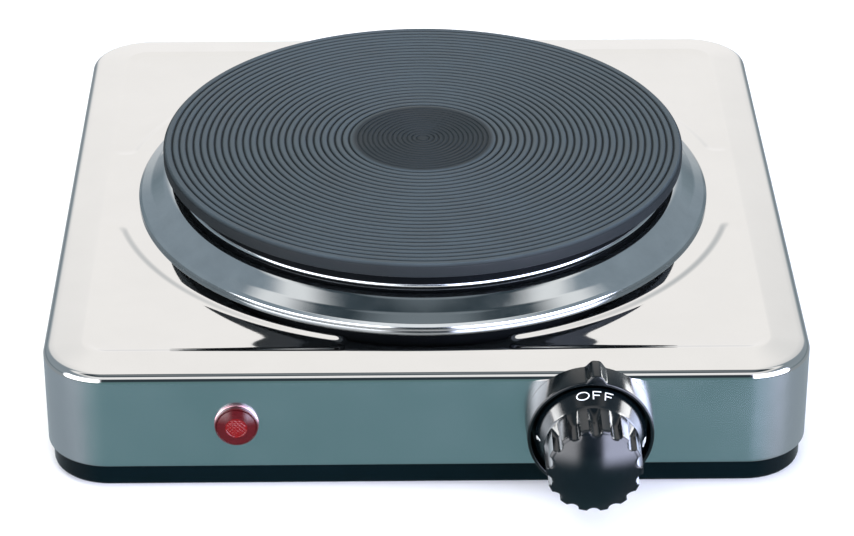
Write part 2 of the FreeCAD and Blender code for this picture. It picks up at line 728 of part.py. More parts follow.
def make_base():
    """The enamelled base pan with its vents, and the push-in rubber feet."""
    body = rounded_pad(
        "base_pan",
        BODY_WIDTH - PAN_INSET * 2,
        BODY_DEPTH - PAN_INSET * 2,
        S.body_corner - PAN_INSET,
        S.foot_drop,
        S.pan_height,
    )
    round_edges_at(body, S.foot_drop, S.pan_edge)
    inset = PAN_INSET + S.pan_sheet
    hollow = new_sketch(body, "pan_hollow", offset=S.foot_drop + S.pan_height)
    outline(hollow, rounded(BODY_WIDTH - inset * 2, BODY_DEPTH - inset * 2, S.body_corner - inset))
    pocket(body, hollow, S.pan_height - S.pan_sheet)
    feet = four(BODY_WIDTH / 2 - S.foot_inset, BODY_DEPTH / 2 - S.foot_inset)
    screws = four(BODY_WIDTH / 2 - S.post_inset, BODY_DEPTH / 2 - S.post_inset)
    for name, radius, centres in (
        ("foot_holes", S.foot_neck, feet),
        ("screw_holes", S.screw_radius, screws),
        ("earth_hole", S.earth_screw, [(S.earth_x, S.earth_y)]),
        ("block_holes", S.screw_radius, [(fixing_x(side), BLOCK_Y) for side in (-1, 1)]),
    ):
        holes = new_sketch(body, name)
        circles(holes, radius, centres)
        pocket(body, holes, upwards=True)
    for name, side in (("vents_left", -1), ("vents_right", 1)):
        make_vents(body, name, side)
    node(body, "base_pan")

    rubber = []
    for count, (x, y) in enumerate(feet):
        sole = cylinder(f"sole_{count}", S.foot_radius, 0, S.foot_drop, x, y)
        neck = cylinder(f"foot_neck_{count}", S.foot_neck, S.foot_drop, PAN_TOP, x, y)
        bulb = cylinder(f"bulb_{count}", S.foot_bulb, PAN_TOP, PAN_TOP + S.foot_neck, x, y)
        rubber.append(fuse(f"foot_{count}", [sole, neck, bulb]))
    node(group("feet", rubber), "rubber_feet")


def make_vents(body, name, side):
    """A row of vent slots through the pan's floor."""
    sketch = new_sketch(body, name)
    end, half = S.vent_length / 2, S.vent_width / 2
    middle = side * S.vent_first
    outline(
        sketch,
        [
            (middle - half, -end),
            (middle + half, -end),
            (middle + half, end),
            (middle - half, end),
        ],
    )
    slot = pocket(body, sketch, upwards=True)
    row = body.newObject("PartDesign::LinearPattern", f"{name}_row")
    row.Originals = [slot]
    row.Direction = (sketch, ["H_Axis"])
    row.Reversed = side < 0
    bind(row, "Occurrences", S.vent_count)
    bind(row, "Length", S.vent_pitch * (S.vent_count - 1))
    body.Tip = row


# ---- cooking plate -----------------------------------------------------------------------------


def make_plate():
    """The cast plate: a rim, a neck, a channel for the coils and turned cooking grooves."""
    top, low = PLATE_TOP, CASTING_UNDER
    stud_top = low + S.stud_depth
    casting = revolved(
        "casting",
        [
            (0, top),
            (0, stud_top),
            (S.stud_radius, stud_top),
            (S.stud_radius, low),
            (S.channel_inner, low),
            (S.channel_inner, CHANNEL_TOP),
            (CHANNEL_OUTER, CHANNEL_TOP),
            (CHANNEL_OUTER, low),
            (NECK, low),
            (NECK, RIM_UNDER),
            (S.plate_radius, RIM_UNDER),
            (S.plate_radius, top - S.rim_bevel),
            (S.plate_radius - S.rim_bevel, top),
        ],
    )
    node(cut("grooved_casting", casting, groove_tool()), "hot_plate")


def groove_tool():
    """The turning tool's sweep: a toothed section, fine in the middle and wider outside."""
    top = float(PLATE_TOP)
    zones = (
        (float(S.fine_pitch), float(S.fine_pitch), float(S.fine_radius), float(S.fine_depth)),
        (
            float(S.fine_radius),
            float(S.groove_pitch),
            float(S.plate_radius - S.rim_bevel),
            float(S.groove_depth),
        ),
    )
    teeth = []
    for first, pitch, last, depth in zones:
        for count in range(int((last - first) / pitch)):
            start = first + count * pitch
            teeth.append(FreeCAD.Vector(start, 0, top))
            teeth.append(FreeCAD.Vector(start + 0.25 * pitch, 0, top - depth))
            teeth.append(FreeCAD.Vector(start + 0.5 * pitch, 0, top))
    above = top + float(S.groove_depth)
    loop = teeth + [FreeCAD.Vector(teeth[-1].x, 0, above), FreeCAD.Vector(teeth[0].x, 0, above)]
    face = Part.Face(Part.makePolygon(loop + loop[:1]))
    tool = fresh("Part::Feature", "groove_tool")
    tool.Shape = face.revolve(FreeCAD.Vector(0, 0, 0), FreeCAD.Vector(0, 0, 1), 360)
    return tool


def make_heating():
    """Three ring coils with their leads, bedded in magnesia under the plate and covered."""
    rings = []
    for count in range(3):
        ring = fresh("Part::Torus", f"ring_{count}")
        bind(ring, "Radius1", S.coil_first + S.coil_pitch * count)
        bind(ring, "Radius2", S.coil_radius)
        rings.append(place(ring, 0, 0, COIL_HEIGHT))
    leads = []
    for name, side in (("lead_left", -1), ("lead_right", 1)):
        low = BLOCK_UNDER - S.terminal_height / 2
        leads.append(cylinder(name, S.lead_radius, low, COIL_HEIGHT, side * S.lead_offset, LEAD_Y))
    inner = fuse("inner_coil", [rings[0]] + leads)
    coils = group("coils", [inner] + rings[1:])
    node(coils, "heating_coils")

    bed = tube("bed", CHANNEL_OUTER, S.channel_inner, CASTING_UNDER, CHANNEL_TOP)
    coil_space = group("coil_space", [inner] + rings[1:])
    node(cut("packing", bed, coil_space), "magnesia_packing")

    disc = cylinder("cover_disc", S.cover_radius, COVER_UNDER, CASTING_UNDER)
    holes = [cylinder("cover_stud_hole", S.stud_radius + S.hole_gap, COVER_UNDER, CASTING_UNDER)]
    for name, side in (("cover_hole_left", -1), ("cover_hole_right", 1)):
        place_x = side * S.lead_offset
        holes.append(cylinder(name, S.lead_radius * 2, COVER_UNDER, CASTING_UNDER, place_x, LEAD_Y))
    node(cut("cover", disc, fuse("cover_holes", holes)), "plate_cover")

    half, end = S.block_length / 2, S.block_depth / 2
    block = box(
        "block_blank", (-half, LEAD_Y - end, BLOCK_UNDER), (half, LEAD_Y + end, COVER_UNDER)
    )
    node(cut("block", block, fuse("block_bores", leads)), "plate_terminal_block")

    terminals = []
    for count, side in enumerate((-1, 1)):
        x = side * S.lead_offset
        slug = cylinder(f"slug_{count}", S.terminal_radius, TERMINAL_UNDER, BLOCK_UNDER, x, LEAD_Y)
        terminals.append(cut(f"terminal_{count}", slug, leads[count]))
    node(group("terminals", terminals), "plate_terminals")


def make_ring():
    """The steel trim ring: a collar under the rim, a flat lip, a flared flank, a rolled edge."""
    deck, sheet = S.deck_height, S.sheet
    lip_top = deck + S.lip_rise
    flank_top = LIP_RADIUS + S.shoulder_width
    flank_foot = RING_RADIUS - S.flare_width
    flare = deck + S.roll_height + S.flare_rise
    roll = RING_RADIUS - S.roll_width
    ring = revolved(
        "trim_ring",
        [
            (RING_COLLAR, RIM_UNDER),
            (RING_COLLAR, lip_top - sheet),
            (LIP_RADIUS - sheet / 3, lip_top - sheet),
            (flank_top - sheet / 2, lip_top - sheet * 2),
            (flank_foot - sheet / 2, flare - sheet),
            (roll - sheet / 3, deck + S.roll_height - sheet),
            (RING_RADIUS - sheet, deck + sheet),
            (RING_RADIUS - sheet, deck),
            (RING_RADIUS, deck),
            (RING_RADIUS, deck + sheet, S.roll_radius),
            (roll, deck + S.roll_height, -S.flank_width),
            (flank_foot, flare),
            (flank_top, lip_top - sheet, S.lip_width),
            (LIP_RADIUS, lip_top),
            (RING_COLLAR + sheet, lip_top),
            (RING_COLLAR + sheet, RIM_UNDER),
        ],
    )
    node(ring, "trim_ring")


def make_clamp():
    """The stud that pulls the plate down, and the strap that bears up under the deck."""
    low = STRAP_TOP - S.strap_sheet - S.washer_sheet - S.nut_height - S.screw_head_height * 2
    stud_top = CASTING_UNDER + S.stud_depth
    node(cylinder("stud", S.stud_radius, low, stud_top), "plate_stud")
    node(
        tube("spacer", S.stud_radius + S.strap_sheet, S.stud_radius, SHIELD_TOP, COVER_UNDER),
        "stud_spacer",
    )

    shield = revolved(
        "shield",
        [
            (S.stud_radius + S.hole_gap, STRAP_TOP),
            (S.shield_radius, STRAP_TOP),
            (S.shield_radius + S.shield_rim, STRAP_TOP + S.shield_rim),
            (S.shield_radius + S.shield_rim - S.shield_sheet, STRAP_TOP + S.shield_rim),
            (S.shield_radius - S.shield_sheet / 2, SHIELD_TOP),
            (S.stud_radius + S.hole_gap, SHIELD_TOP),
        ],
    )
    x, y = S.block_length / 2 + S.strap_sheet, S.block_depth / 2 + S.strap_sheet
    window = box(
        "shield_window",
        (-x, LEAD_Y - y, STRAP_TOP - S.strap_sheet),
        (x, LEAD_Y + y, SHIELD_TOP + S.strap_sheet),
    )
    node(cut("dished_shield", shield, window), "heat_shield")

    foot = WELL_RADIUS + S.sheet * 3
    end = WELL_RADIUS + S.strap_foot
    bend = S.shield_radius + S.shield_rim + S.shield_rim
    top, thick = DECK_UNDER, S.strap_sheet
    body = new_body("strap")
    side = new_sketch(body, "strap_side", "XZ_Plane")
    half = [
        (bend, STRAP_TOP),
        (foot, top),
        (end, top),
        (end, top - thick),
        (foot + thick / 2, top - thick),
        (bend + thick / 2, STRAP_TOP - thick),
    ]
    outline(side, half + [(-x, z) for x, z in reversed(half)])
    pad(body, side, S.strap_width).Midplane = True
    hole = new_sketch(body, "strap_hole")
    circles(hole, S.stud_radius, [(0, 0)])
    pocket(body, hole, upwards=True)
    node(body, "clamp_strap")

    washer_low = STRAP_TOP - S.strap_sheet - S.washer_sheet
    node(
        tube("washer", S.washer_radius, S.stud_radius, washer_low, STRAP_TOP - S.strap_sheet),
        "stud_washer",
    )
    nut = prism("nut_blank", S.nut_flats, washer_low - S.nut_height, washer_low)
    bore = cylinder("nut_bore", S.stud_radius, washer_low - S.nut_height, washer_low)
    node(cut("nut", nut, bore), "stud_nut")


# ---- knob and thermostat, drawn about the spindle with the wall's outer face at Z = 0 -----------


def front_node(thing, name, x):
    """Name a piece drawn facing up, and turn it to face the front at (x, axis height)."""
    return node(thing, name, x, FRONT, S.axis_height, FACING_FRONT)


def make_collar():
    """The black cup round the knob, with its pointer."""
    body = revolved(
        "collar_cup",
        [
            (S.bush_radius + S.hole_gap, 0),
            (S.collar_radius, 0),
            (S.collar_radius, S.collar_depth),
            (COLLAR_INNER, S.collar_depth),
            (COLLAR_INNER, S.collar_floor),
            (S.bush_radius + S.hole_gap, S.collar_floor),
        ],
    )
    half = S.nub_width / 2
    nub = new_body("nub")
    shape = new_sketch(nub, "nub_outline")
    tip = S.collar_radius + S.nub_rise
    outline(
        shape,
        [
            (-half * 2, COLLAR_INNER),
            (half * 2, COLLAR_INNER),
            (half, tip - S.nub_rise * 0.8),
            (half / 2, tip, S.nub_width),
            (-half / 2, tip),
            (-half, tip - S.nub_rise * 0.8),
        ],
    )
    pad(nub, shape, S.collar_depth)
    clear = cylinder("cup_space", COLLAR_INNER, S.collar_floor, S.collar_depth)
    front_node(cut("collar", fuse("collar_solid", [body, nub]), clear), "knob_collar", S.knob_place)


def make_knob():
    """The moulded knob: flared skirt, fluted grip, domed cap, and a hub that fits the spindle."""
    cap_low = S.knob_reach - S.cap_rise
    inside = SKIRT_RADIUS - S.knob_wall
    hollow = S.grip_start - S.knob_wall
    hub_back = S.knob_back - S.sheet * 3
    turned = revolved(
        "knob_turned",
        [
            (0, S.spindle_reach),
            (0, S.knob_reach, -(CAP_RADIUS * CAP_RADIUS / (S.cap_rise * 2) + S.cap_rise / 2)),
            (CAP_RADIUS, cap_low),
            (GRIP_RADIUS, cap_low - S.cap_inset / 2),
            (GRIP_RADIUS, S.grip_start, S.knob_wall * 4),
            (SKIRT_RADIUS, S.knob_back + S.knob_wall / 2),
            (SKIRT_RADIUS, S.knob_back),
            (inside, S.knob_back),
            (inside - S.knob_wall, hollow),
            (S.hub_radius, hollow),
            (S.hub_radius, hub_back),
            (S.spindle_radius, hub_back),
            (S.spindle_radius, S.spindle_reach),
        ],
    )
    sketch = new_sketch(turned, "flute", offset=S.grip_start)
    circles(
        sketch,
        S.flute_radius,
        [(0, GRIP_RADIUS - S.flute_depth + S.flute_radius)],
    )
    first = pocket(turned, sketch, S.knob_reach - S.grip_start, upwards=True)
    ring = turned.newObject("PartDesign::PolarPattern", "flutes")
    ring.Originals = [first]
    ring.Axis = (sketch, ["N_Axis"])
    ring.Angle = 360
    bind(ring, "Occurrences", S.flute_count)
    turned.Tip = ring
    flat = SPINDLE_FLAT + S.clip_sheet
    key = box(
        "knob_key",
        (-S.spindle_radius, flat, S.spindle_reach / 2),
        (S.spindle_radius, S.spindle_radius + S.hole_gap, S.spindle_reach),
    )
    front_node(fuse("knob_whole", [turned, key]), "knob", S.knob_place)

    clip_half = root(S.spindle_radius * S.spindle_radius - flat * flat) - S.hole_gap
    clip = box(
        "clip",
        (-clip_half, SPINDLE_FLAT, S.spindle_reach / 2 + S.clip_sheet),
        (clip_half, flat, S.spindle_reach),
    )
    front_node(clip, "knob_clip", S.knob_place)


def make_spindle():
    """The flatted spindle, its spiral cam and the ring that holds it in the frame."""
    back = FRAME_BACK - S.frame_sheet
    rod = cylinder("rod", S.spindle_radius, back, S.spindle_reach)
    flat = box(
        "rod_flat",
        (-S.spindle_radius, SPINDLE_FLAT, S.spindle_reach / 2),
        (S.spindle_radius, S.spindle_radius * 1.1, S.spindle_reach + S.sheet),
    )
    front_node(cut("flatted_rod", rod, flat), "thermostat_spindle", S.knob_place)

    cam = fresh("Part::Feature", "cam")
    cam.Shape = cam_shape()
    front_node(cam, "thermostat_cam", S.knob_place)

    seat = FRAME_BACK + S.frame_sheet + S.follow_gap
    ring = tube("ring", S.bush_radius, S.spindle_radius, seat, seat + S.frame_sheet)
    front_node(ring, "spindle_ring", S.knob_place)


def cam_radius(angle):
    """The cam's radius at an angle, in degrees, counted against the knob's turn from its peak."""
    high, fall = float(S.cam_high), float(S.cam_fall) / 60
    low = high - fall * CAM_LOW
    if angle <= CAM_LOW:
        return high - fall * angle
    return low + (high - low) * (angle - CAM_LOW) / (360 - CAM_LOW)


def cam_shape():
    """The cam: an Archimedean spiral that falls evenly, then climbs back to its peak."""

    def point(angle):
        radius, turn = cam_radius(angle), math.radians(90 + angle)
        height = -float(S.cam_back)
        return FreeCAD.Vector(radius * math.cos(turn), radius * math.sin(turn), height)

    spiral = Part.BSplineCurve()
    spiral.interpolate([point(angle) for angle in range(0, CAM_LOW + 1, 20)])
    climb = Part.BSplineCurve()
    climb.interpolate([point(angle) for angle in range(CAM_LOW, 361, 10)])
    face = Part.Face(Part.Wire([spiral.toShape(), climb.toShape()]))
    solid = face.extrude(FreeCAD.Vector(0, 0, float(S.cam_width)))
    bore = Part.makeCylinder(
        float(S.spindle_radius), float(S.cam_width), FreeCAD.Vector(0, 0, -float(S.cam_back))
    )
    return solid.cut(bore)


def make_bush():
    """The threaded bush that holds frame, wall and collar together, and its nut."""
    front = -S.sheet - S.frame_sheet
    top = S.collar_floor + S.bush_nut_height + S.clip_sheet
    flange = cylinder("flange", S.bush_flange, front - S.bush_flange_sheet, front)
    thread = cylinder("thread", S.bush_radius, front, top)
    bore = cylinder("bush_bore", SPINDLE_HOLE, front - S.bush_flange_sheet, top)
    front_node(cut("bush", fuse("bush_solid", [flange, thread]), bore), "thermostat_bush", S.knob_place)
    nut_top = S.collar_floor + S.bush_nut_height
    nut = prism("bush_nut_blank", S.bush_nut_flats, S.collar_floor, nut_top)
    nut_bore = cylinder("bush_nut_bore", S.bush_radius, S.collar_floor, nut_top)
    front_node(cut("bush_nut_cut", nut, nut_bore), "bush_nut", S.knob_place)


def make_frame():
    """The thermostat's folded frame: two plates and a web over them."""
    thick = S.frame_sheet
    outer = box(
        "frame_outside",
        (-S.frame_left, -S.frame_down, FRAME_BACK),
        (S.frame_right, S.frame_up, -S.sheet),
    )
    inner = box(
        "frame_inside",
        (-S.frame_left - thick, -S.frame_down - thick, FRAME_BACK + thick),
        (S.frame_right + thick, S.frame_up - thick, -S.sheet - thick),
    )
    holes = [
        cylinder("frame_bush_hole", S.bush_radius, -S.sheet - thick, -S.sheet),
        cylinder("frame_end_hole", SPINDLE_HOLE, FRAME_BACK, FRAME_BACK + thick),
        cylinder("frame_pin_hole", S.pin_radius, FRAME_BACK, -S.sheet, -S.arm_length, S.arm_pivot_rise),
    ]
    tab_x = -S.frame_left + S.top_tab_inset
    depth = tab_middle()
    rivet_hole = turned_rod(
        "frame_rivet_hole", S.rivet_radius, tab_x, S.frame_up - thick, S.frame_up, depth
    )
    shell = cut("frame_shell", outer, inner)
    front_node(
        cut("frame", shell, fuse("frame_holes", holes + [rivet_hole])),
        "thermostat_frame",
        S.knob_place,
    )
    pin = cylinder(
        "pin", S.pin_radius, FRAME_BACK, -S.sheet, -S.arm_length, S.arm_pivot_rise
    )
    front_node(pin, "arm_pivot_pin", S.knob_place)


def tab_middle():
    """How far behind the wall the middle of the thermostat's frame lies, as a negative size."""
    return -S.sheet - S.frame_depth / 2


def turned_rod(name, radius, x, low, high, depth):
    """A rod along the drawing's Y axis, which stands upright once the piece is turned."""
    rod = fresh("Part::Cylinder", name)
    bind(rod, "Radius", radius)
    bind(rod, "Height", high - low)
    return place(rod, x, low, depth, FACING_REAR)


def make_contacts():
    """The cam-driven contact arm, and the bimetal strip on its ceramic insulator."""
    middle = -S.cam_back + S.cam_width / 2
    low, high = -S.cam_back, -S.cam_back + S.cam_width
    bar = box(
        "arm_bar",
        (-S.arm_length, ARM_UNDER, low),
        (S.arm_tip, ARM_UNDER + S.arm_sheet, high),
    )
    eye = cylinder("arm_eye", S.arm_eye, low, high, -S.arm_length, S.arm_pivot_rise)
    hole = cylinder(
        "arm_hole", S.pin_radius + S.run_gap, low, high, -S.arm_length, S.arm_pivot_rise
    )
    moving = turned_rod(
        "moving", S.contact_radius, -S.contact_place, ARM_UNDER - S.contact_height, ARM_UNDER, middle
    )
    arm = cut("arm", fuse("arm_solid", [bar, eye, moving]), hole)
    front_node(arm, "contact_arm", S.knob_place)

    left = -S.frame_left + S.frame_sheet
    right = left + S.insulator_width
    rivet_x = left + S.rivet_radius * 2
    strip_low, strip_high = middle - S.strip_width / 2, middle + S.strip_width / 2
    strip = box(
        "strip_blank",
        (left, S.strip_height, strip_low),
        (-S.contact_place + S.contact_radius, STRIP_TOP, strip_high),
    )
    rivet_low, rivet_top = TAB_LOW - S.tab_sheet, STRIP_TOP
    shank = turned_rod("shank", S.rivet_radius, rivet_x, rivet_low, rivet_top, middle)
    head_top = STRIP_TOP + S.strip_sheet
    head = turned_rod("head", S.rivet_radius * 2, rivet_x, STRIP_TOP, head_top, middle)
    foot_low = rivet_low - S.strip_sheet
    foot = turned_rod("foot", S.rivet_radius * 2, rivet_x, foot_low, rivet_low, middle)
    front_node(cut("strip", strip, shank), "bimetal_strip", S.knob_place)
    fixed = turned_rod(
        "fixed", S.contact_radius, -S.contact_place, STRIP_TOP, STRIP_TOP + S.strip_sheet, middle
    )
    front_node(fixed, "fixed_contact", S.knob_place)
    block = box(
        "insulator_blank",
        (left, TAB_LOW, FRAME_BACK + S.frame_sheet),
        (right, S.strip_height, -S.sheet - S.frame_sheet),
    )
    front_node(cut("insulator", block, shank), "contact_insulator", S.knob_place)

    tab_low, tab_high = middle - S.tab_width / 2, middle + S.tab_width / 2
    lower = box("lower_tab", (TAB_END, rivet_low, tab_low), (right, TAB_LOW, tab_high))
    deep = tab_middle()
    top_x = -S.frame_left + S.top_tab_inset
    top_pin = turned_rod(
        "top_pin",
        S.rivet_radius,
        top_x,
        S.frame_up - S.frame_sheet,
        S.frame_up + S.tab_sheet,
        deep,
    )
    upper = box(
        "upper_tab",
        (TAB_END, S.frame_up, deep - S.tab_width / 2),
        (top_x + S.rivet_radius * 3, S.frame_up + S.tab_sheet, deep + S.tab_width / 2),
    )
    tabs = [cut("lower_tab_cut", lower, shank), cut("upper_tab_cut", upper, top_pin)]
    front_node(group("tabs", tabs), "thermostat_terminals", S.knob_place)
    rivets = [fuse("stack_rivet", [shank, head, foot]), top_pin]
    front_node(group("rivets", rivets), "stack_rivets", S.knob_place)


# ---- pilot lamp, drawn about its own axis with the wall's outer face at Z = 0 --------------------


def make_lamp():
    """The pilot lamp: lens, body, clip behind the wall, neon bulb, resistor and tabs."""
    bore = S.lamp_tube - S.lamp_wall
    plug = bore - S.hole_gap
    lens = revolved(
        "lens",
        [
            (0, S.lamp_reach),
            (0, S.lamp_reach - S.lens_face),
            (plug - S.lamp_wall, S.lamp_reach - S.lens_face),
            (plug - S.lamp_wall, -S.lamp_reach),
            (plug, -S.lamp_reach),
            (plug, S.lamp_bezel),
            (S.lamp_lens, S.lamp_bezel),
            (S.lamp_lens, S.lamp_reach - S.lamp_wall / 2),
            (S.lamp_lens - S.lamp_wall / 2, S.lamp_reach),
        ],
    )
    front_node(lens, "lamp_lens", -S.lamp_place)

    floor = -S.lamp_length + S.lamp_wall * 4
    shell = revolved(
        "lamp_shell",
        [
            (0, floor),
            (0, -S.lamp_length),
            (S.lamp_tube, -S.lamp_length),
            (S.lamp_tube, 0),
            (S.lamp_flange, 0),
            (S.lamp_flange, S.lamp_bezel),
            (bore, S.lamp_bezel),
            (bore, floor),
        ],
    )
    apart = S.bulb_radius / 2
    tabs = []
    for name, side in (("lamp_tab_left", -1), ("lamp_tab_right", 1)):
        x = side * apart
        tabs.append(
            box(
                name,
                (x - S.tab_sheet / 2, -S.bulb_radius / 2, -S.lamp_length - S.tab_reach),
                (x + S.tab_sheet / 2, S.bulb_radius / 2, floor),
            )
        )
    front_node(cut("lamp_housing", shell, fuse("tab_slots", tabs)), "lamp_body", -S.lamp_place)
    front_node(group("lamp_tabs", tabs), "lamp_terminals", -S.lamp_place)

    clip = tube("starlock", S.lamp_flange, S.lamp_tube, -S.sheet * 3, -S.sheet)
    front_node(clip, "lamp_clip", -S.lamp_place)

    bulb_low = -S.lamp_reach - S.lamp_wall - S.bulb_length
    glass = cylinder("glass", S.bulb_radius, bulb_low, bulb_low + S.bulb_length - S.bulb_radius)
    dome = fresh("Part::Sphere", "bulb_dome")
    bind(dome, "Radius", S.bulb_radius)
    place(dome, 0, 0, bulb_low + S.bulb_length - S.bulb_radius)
    leads = [cylinder(f"bulb_lead_{side}", S.bulb_lead, floor, bulb_low, side * apart) for side in (-1, 1)]
    front_node(fuse("bulb", [glass, dome] + leads), "neon_bulb", -S.lamp_place)
    low, high = floor + S.lamp_wall, bulb_low - S.lamp_wall
    resistor = tube("resistor", S.resistor_radius, S.bulb_lead, low, high, apart)
    front_node(resistor, "lamp_resistor", -S.lamp_place)


# ---- mains inlet, blocks and wires ---------------------------------------------------------------


def make_gland():
    """The cord gland through the rear wall and the nut inside it."""
    gland = revolved(
        "gland",
        [
            (S.gland_bore, -S.gland_length),
            (S.gland_thread, -S.gland_length),
            (S.gland_thread, 0),
            (S.gland_flange, 0),
            (S.gland_flange - S.sheet, S.gland_reach - S.sheet * 2),
            (S.gland_thread, S.gland_reach),
            (S.gland_bore, S.gland_reach),
        ],
    )
    node(gland, "cord_gland", -S.gland_place, REAR, S.axis_height, FACING_REAR)
    low, high = -S.sheet - S.bush_nut_height, -S.sheet
    nut = prism("gland_nut_blank", S.gland_flange * 2, low, high)
    bore = cylinder("gland_nut_bore", S.gland_thread, low, high)
    node(
        cut("gland_nut", nut, bore), "gland_nut", -S.gland_place, REAR, S.axis_height, FACING_REAR
    )


def way_x(count):
    """The place across X of one of the mains block's three ways."""
    return -S.gland_place + S.way_pitch * (count - 1)


def fixing_x(side):
    """The place across X of one of the two screws between the mains block's ways."""
    return -S.gland_place + side * S.way_pitch / 2


def rod_along_y(name, radius, x, low, high, z):
    """A rod along Y between two places."""
    rod = fresh("Part::Cylinder", name)
    bind(rod, "Radius", radius)
    bind(rod, "Height", high - low)
    return place(rod, x, low, z, FACING_REAR)


def make_mains_block():
    """The three-way mains block, its brass sleeves, their clamp screws and its fixing screws."""
    half = S.strip_block_length / 2
    near, far = BLOCK_Y - S.strip_block_depth / 2, BLOCK_Y + S.strip_block_depth / 2
    top = PAN_TOP + S.strip_block_height
    blank = box(
        "mains_blank", (-S.gland_place - half, near, PAN_TOP), (-S.gland_place + half, far, top)
    )
    bore = S.wire_radius + S.hole_gap
    tools, sleeves, clamps, fixings = [], [], [], []
    for count in range(3):
        x = way_x(count)
        slug = rod_along_y(f"sleeve_{count}", S.sleeve_radius, x, near, far, WAY_Z)
        shaft_low = WAY_Z + S.sleeve_radius - S.clamp_bite
        clamp = cylinder(f"clamp_{count}", S.clamp_radius, shaft_low, top, x, BLOCK_Y)
        hole = rod_along_y(f"sleeve_bore_{count}", bore, x, near, far, WAY_Z)
        sleeves.append(cut(f"sleeve_bored_{count}", slug, fuse(f"sleeve_tools_{count}", [hole, clamp])))
        clamps.append(clamp)
        tools += [slug, clamp]
    for count, side in enumerate((-1, 1)):
        x = fixing_x(side)
        shank = cylinder(f"fixing_shank_{count}", S.screw_radius, S.foot_drop, top, x, BLOCK_Y)
        head_top = top + S.screw_head_height * 2
        head = cylinder(f"fixing_head_{count}", S.fixing_head, top, head_top, x, BLOCK_Y)
        fixings.append(fuse(f"fixing_{count}", [shank, head]))
        tools.append(shank)
    node(cut("mains_block", blank, fuse("mains_tools", tools)), "mains_terminal_block")
    node(group("sleeves", sleeves), "terminal_sleeves")
    node(group("clamps", clamps), "clamp_screws")
    node(group("fixings", fixings), "block_screws")


def make_earth():
    """The earth screw in the pan, its nut, and the tag under the nut."""
    x, y = S.earth_x, S.earth_y
    thick = S.tab_sheet
    head = cylinder("earth_head", S.screw_head, S.foot_drop - thick, S.foot_drop, x, y)
    top = PAN_TOP + S.screw_length / 2
    shank = cylinder("earth_shank", S.earth_screw, S.foot_drop, top, x, y)
    node(fuse("earth_bolt", [head, shank]), "earth_screw")
    ring = cylinder("tag_ring", S.earth_screw * 2, PAN_TOP, PAN_TOP + thick, x, y)
    half = S.wire_radius + thick / 2
    end = y - S.tab_reach
    tongue = box(
        "tag_tongue", (x - half, end, PAN_TOP), (x + half, y, PAN_TOP + thick)
    )
    barrel = rod_along_y(
        "tag_barrel", half, x, end, end + S.wire_entry, PAN_TOP + half
    )
    crimp = rod_along_y(
        "tag_crimp", S.wire_radius, x, end, end + S.wire_entry, PAN_TOP + half
    )
    hole = cylinder("tag_hole", S.earth_screw, PAN_TOP, PAN_TOP + thick, x, y)
    tag = cut("tag", fuse("tag_solid", [ring, tongue, barrel]), fuse("tag_tools", [hole, crimp]))
    node(tag, "earth_tag")
    low = PAN_TOP + thick
    nut = prism("earth_nut_blank", S.earth_nut_flats, low, low + S.bush_nut_height, x, y)
    bore = cylinder("earth_nut_bore", S.earth_screw, low, low + S.bush_nut_height, x, y)
    node(cut("earth_nut_cut", nut, bore), "earth_nut")


def make_wires():
    """The inner wires, from the mains block to the thermostat, the plate, the lamp and earth."""
    start = BLOCK_Y - S.strip_block_depth / 2 + S.wire_entry
    z = WAY_Z
    tab_x = S.knob_place + TAB_END
    tab_y = FRONT - tab_middle()
    low_tab_y = FRONT + S.cam_back - S.cam_width / 2
    low_tab_z = S.axis_height + TAB_LOW - S.tab_sheet / 2
    high_tab_z = S.axis_height + S.frame_up + S.tab_sheet / 2
    bend = S.wire_bend
    main_y, lamp_y = LEAD_Y + S.lead_radius, LEAD_Y - S.lead_radius * 1.4
    live = [
        (way_x(0), start, z),
        (way_x(0), FRONT + bend * 4, z),
        (way_x(0) + bend * 2, FRONT + bend * 1.6, z),
        (tab_x - bend * 3, low_tab_y, z + bend / 4),
        (tab_x - bend * 1.2, low_tab_y, low_tab_z),
        (tab_x, low_tab_y, low_tab_z),
    ]
    heater = [
        (tab_x, tab_y, high_tab_z),
        (tab_x - bend, tab_y, high_tab_z),
        (tab_x - bend * 2.6, tab_y + bend * 1.6, S.axis_height),
        (-bend * 2, -bend * 2, z + bend),
        (S.lead_offset, main_y, z + bend / 2),
        (S.lead_offset, main_y, TERMINAL_UNDER),
    ]
    neutral = [
        (way_x(1), start, z),
        (way_x(1), start - bend * 2.6, z),
        (-S.lead_offset, main_y, z + bend / 4),
        (-S.lead_offset, main_y, TERMINAL_UNDER),
    ]
    earth_end = S.earth_y - S.tab_reach + S.wire_entry
    earth_z = PAN_TOP + S.wire_radius + S.tab_sheet / 2
    earth = [
        (way_x(2), start, z),
        (way_x(2), start - bend * 2.6, z),
        (S.earth_x, earth_end - bend * 1.8, earth_z),
        (S.earth_x, earth_end, earth_z),
    ]
    for name, points in (
        ("wire_live", live),
        ("wire_heater", heater),
        ("wire_neutral", neutral),
        ("wire_earth", earth),
    ):
        node(wire_tube(name, points, S.wire_radius), name)
    lamp = []
    for count, side in enumerate((-1, 1)):
        x = -S.lamp_place + side * S.bulb_radius / 2
        far = side * S.lead_offset
        points = [
            (x, LAMP_BACK, S.axis_height),
            (x, LAMP_BACK + bend * 1.5, S.axis_height),
            (x + bend * 2, LAMP_BACK + bend * 4, z + bend / 2),
            (far, lamp_y - bend * 2.5, z + bend / 3),
            (far, lamp_y, z + bend * 0.7),
            (far, lamp_y, TERMINAL_UNDER),
        ]
        lamp.append(wire_tube(f"lamp_wire_{count}", points, S.thin_wire_radius))
    node(group("lamp_wire_pair", lamp), "wire_lamp")


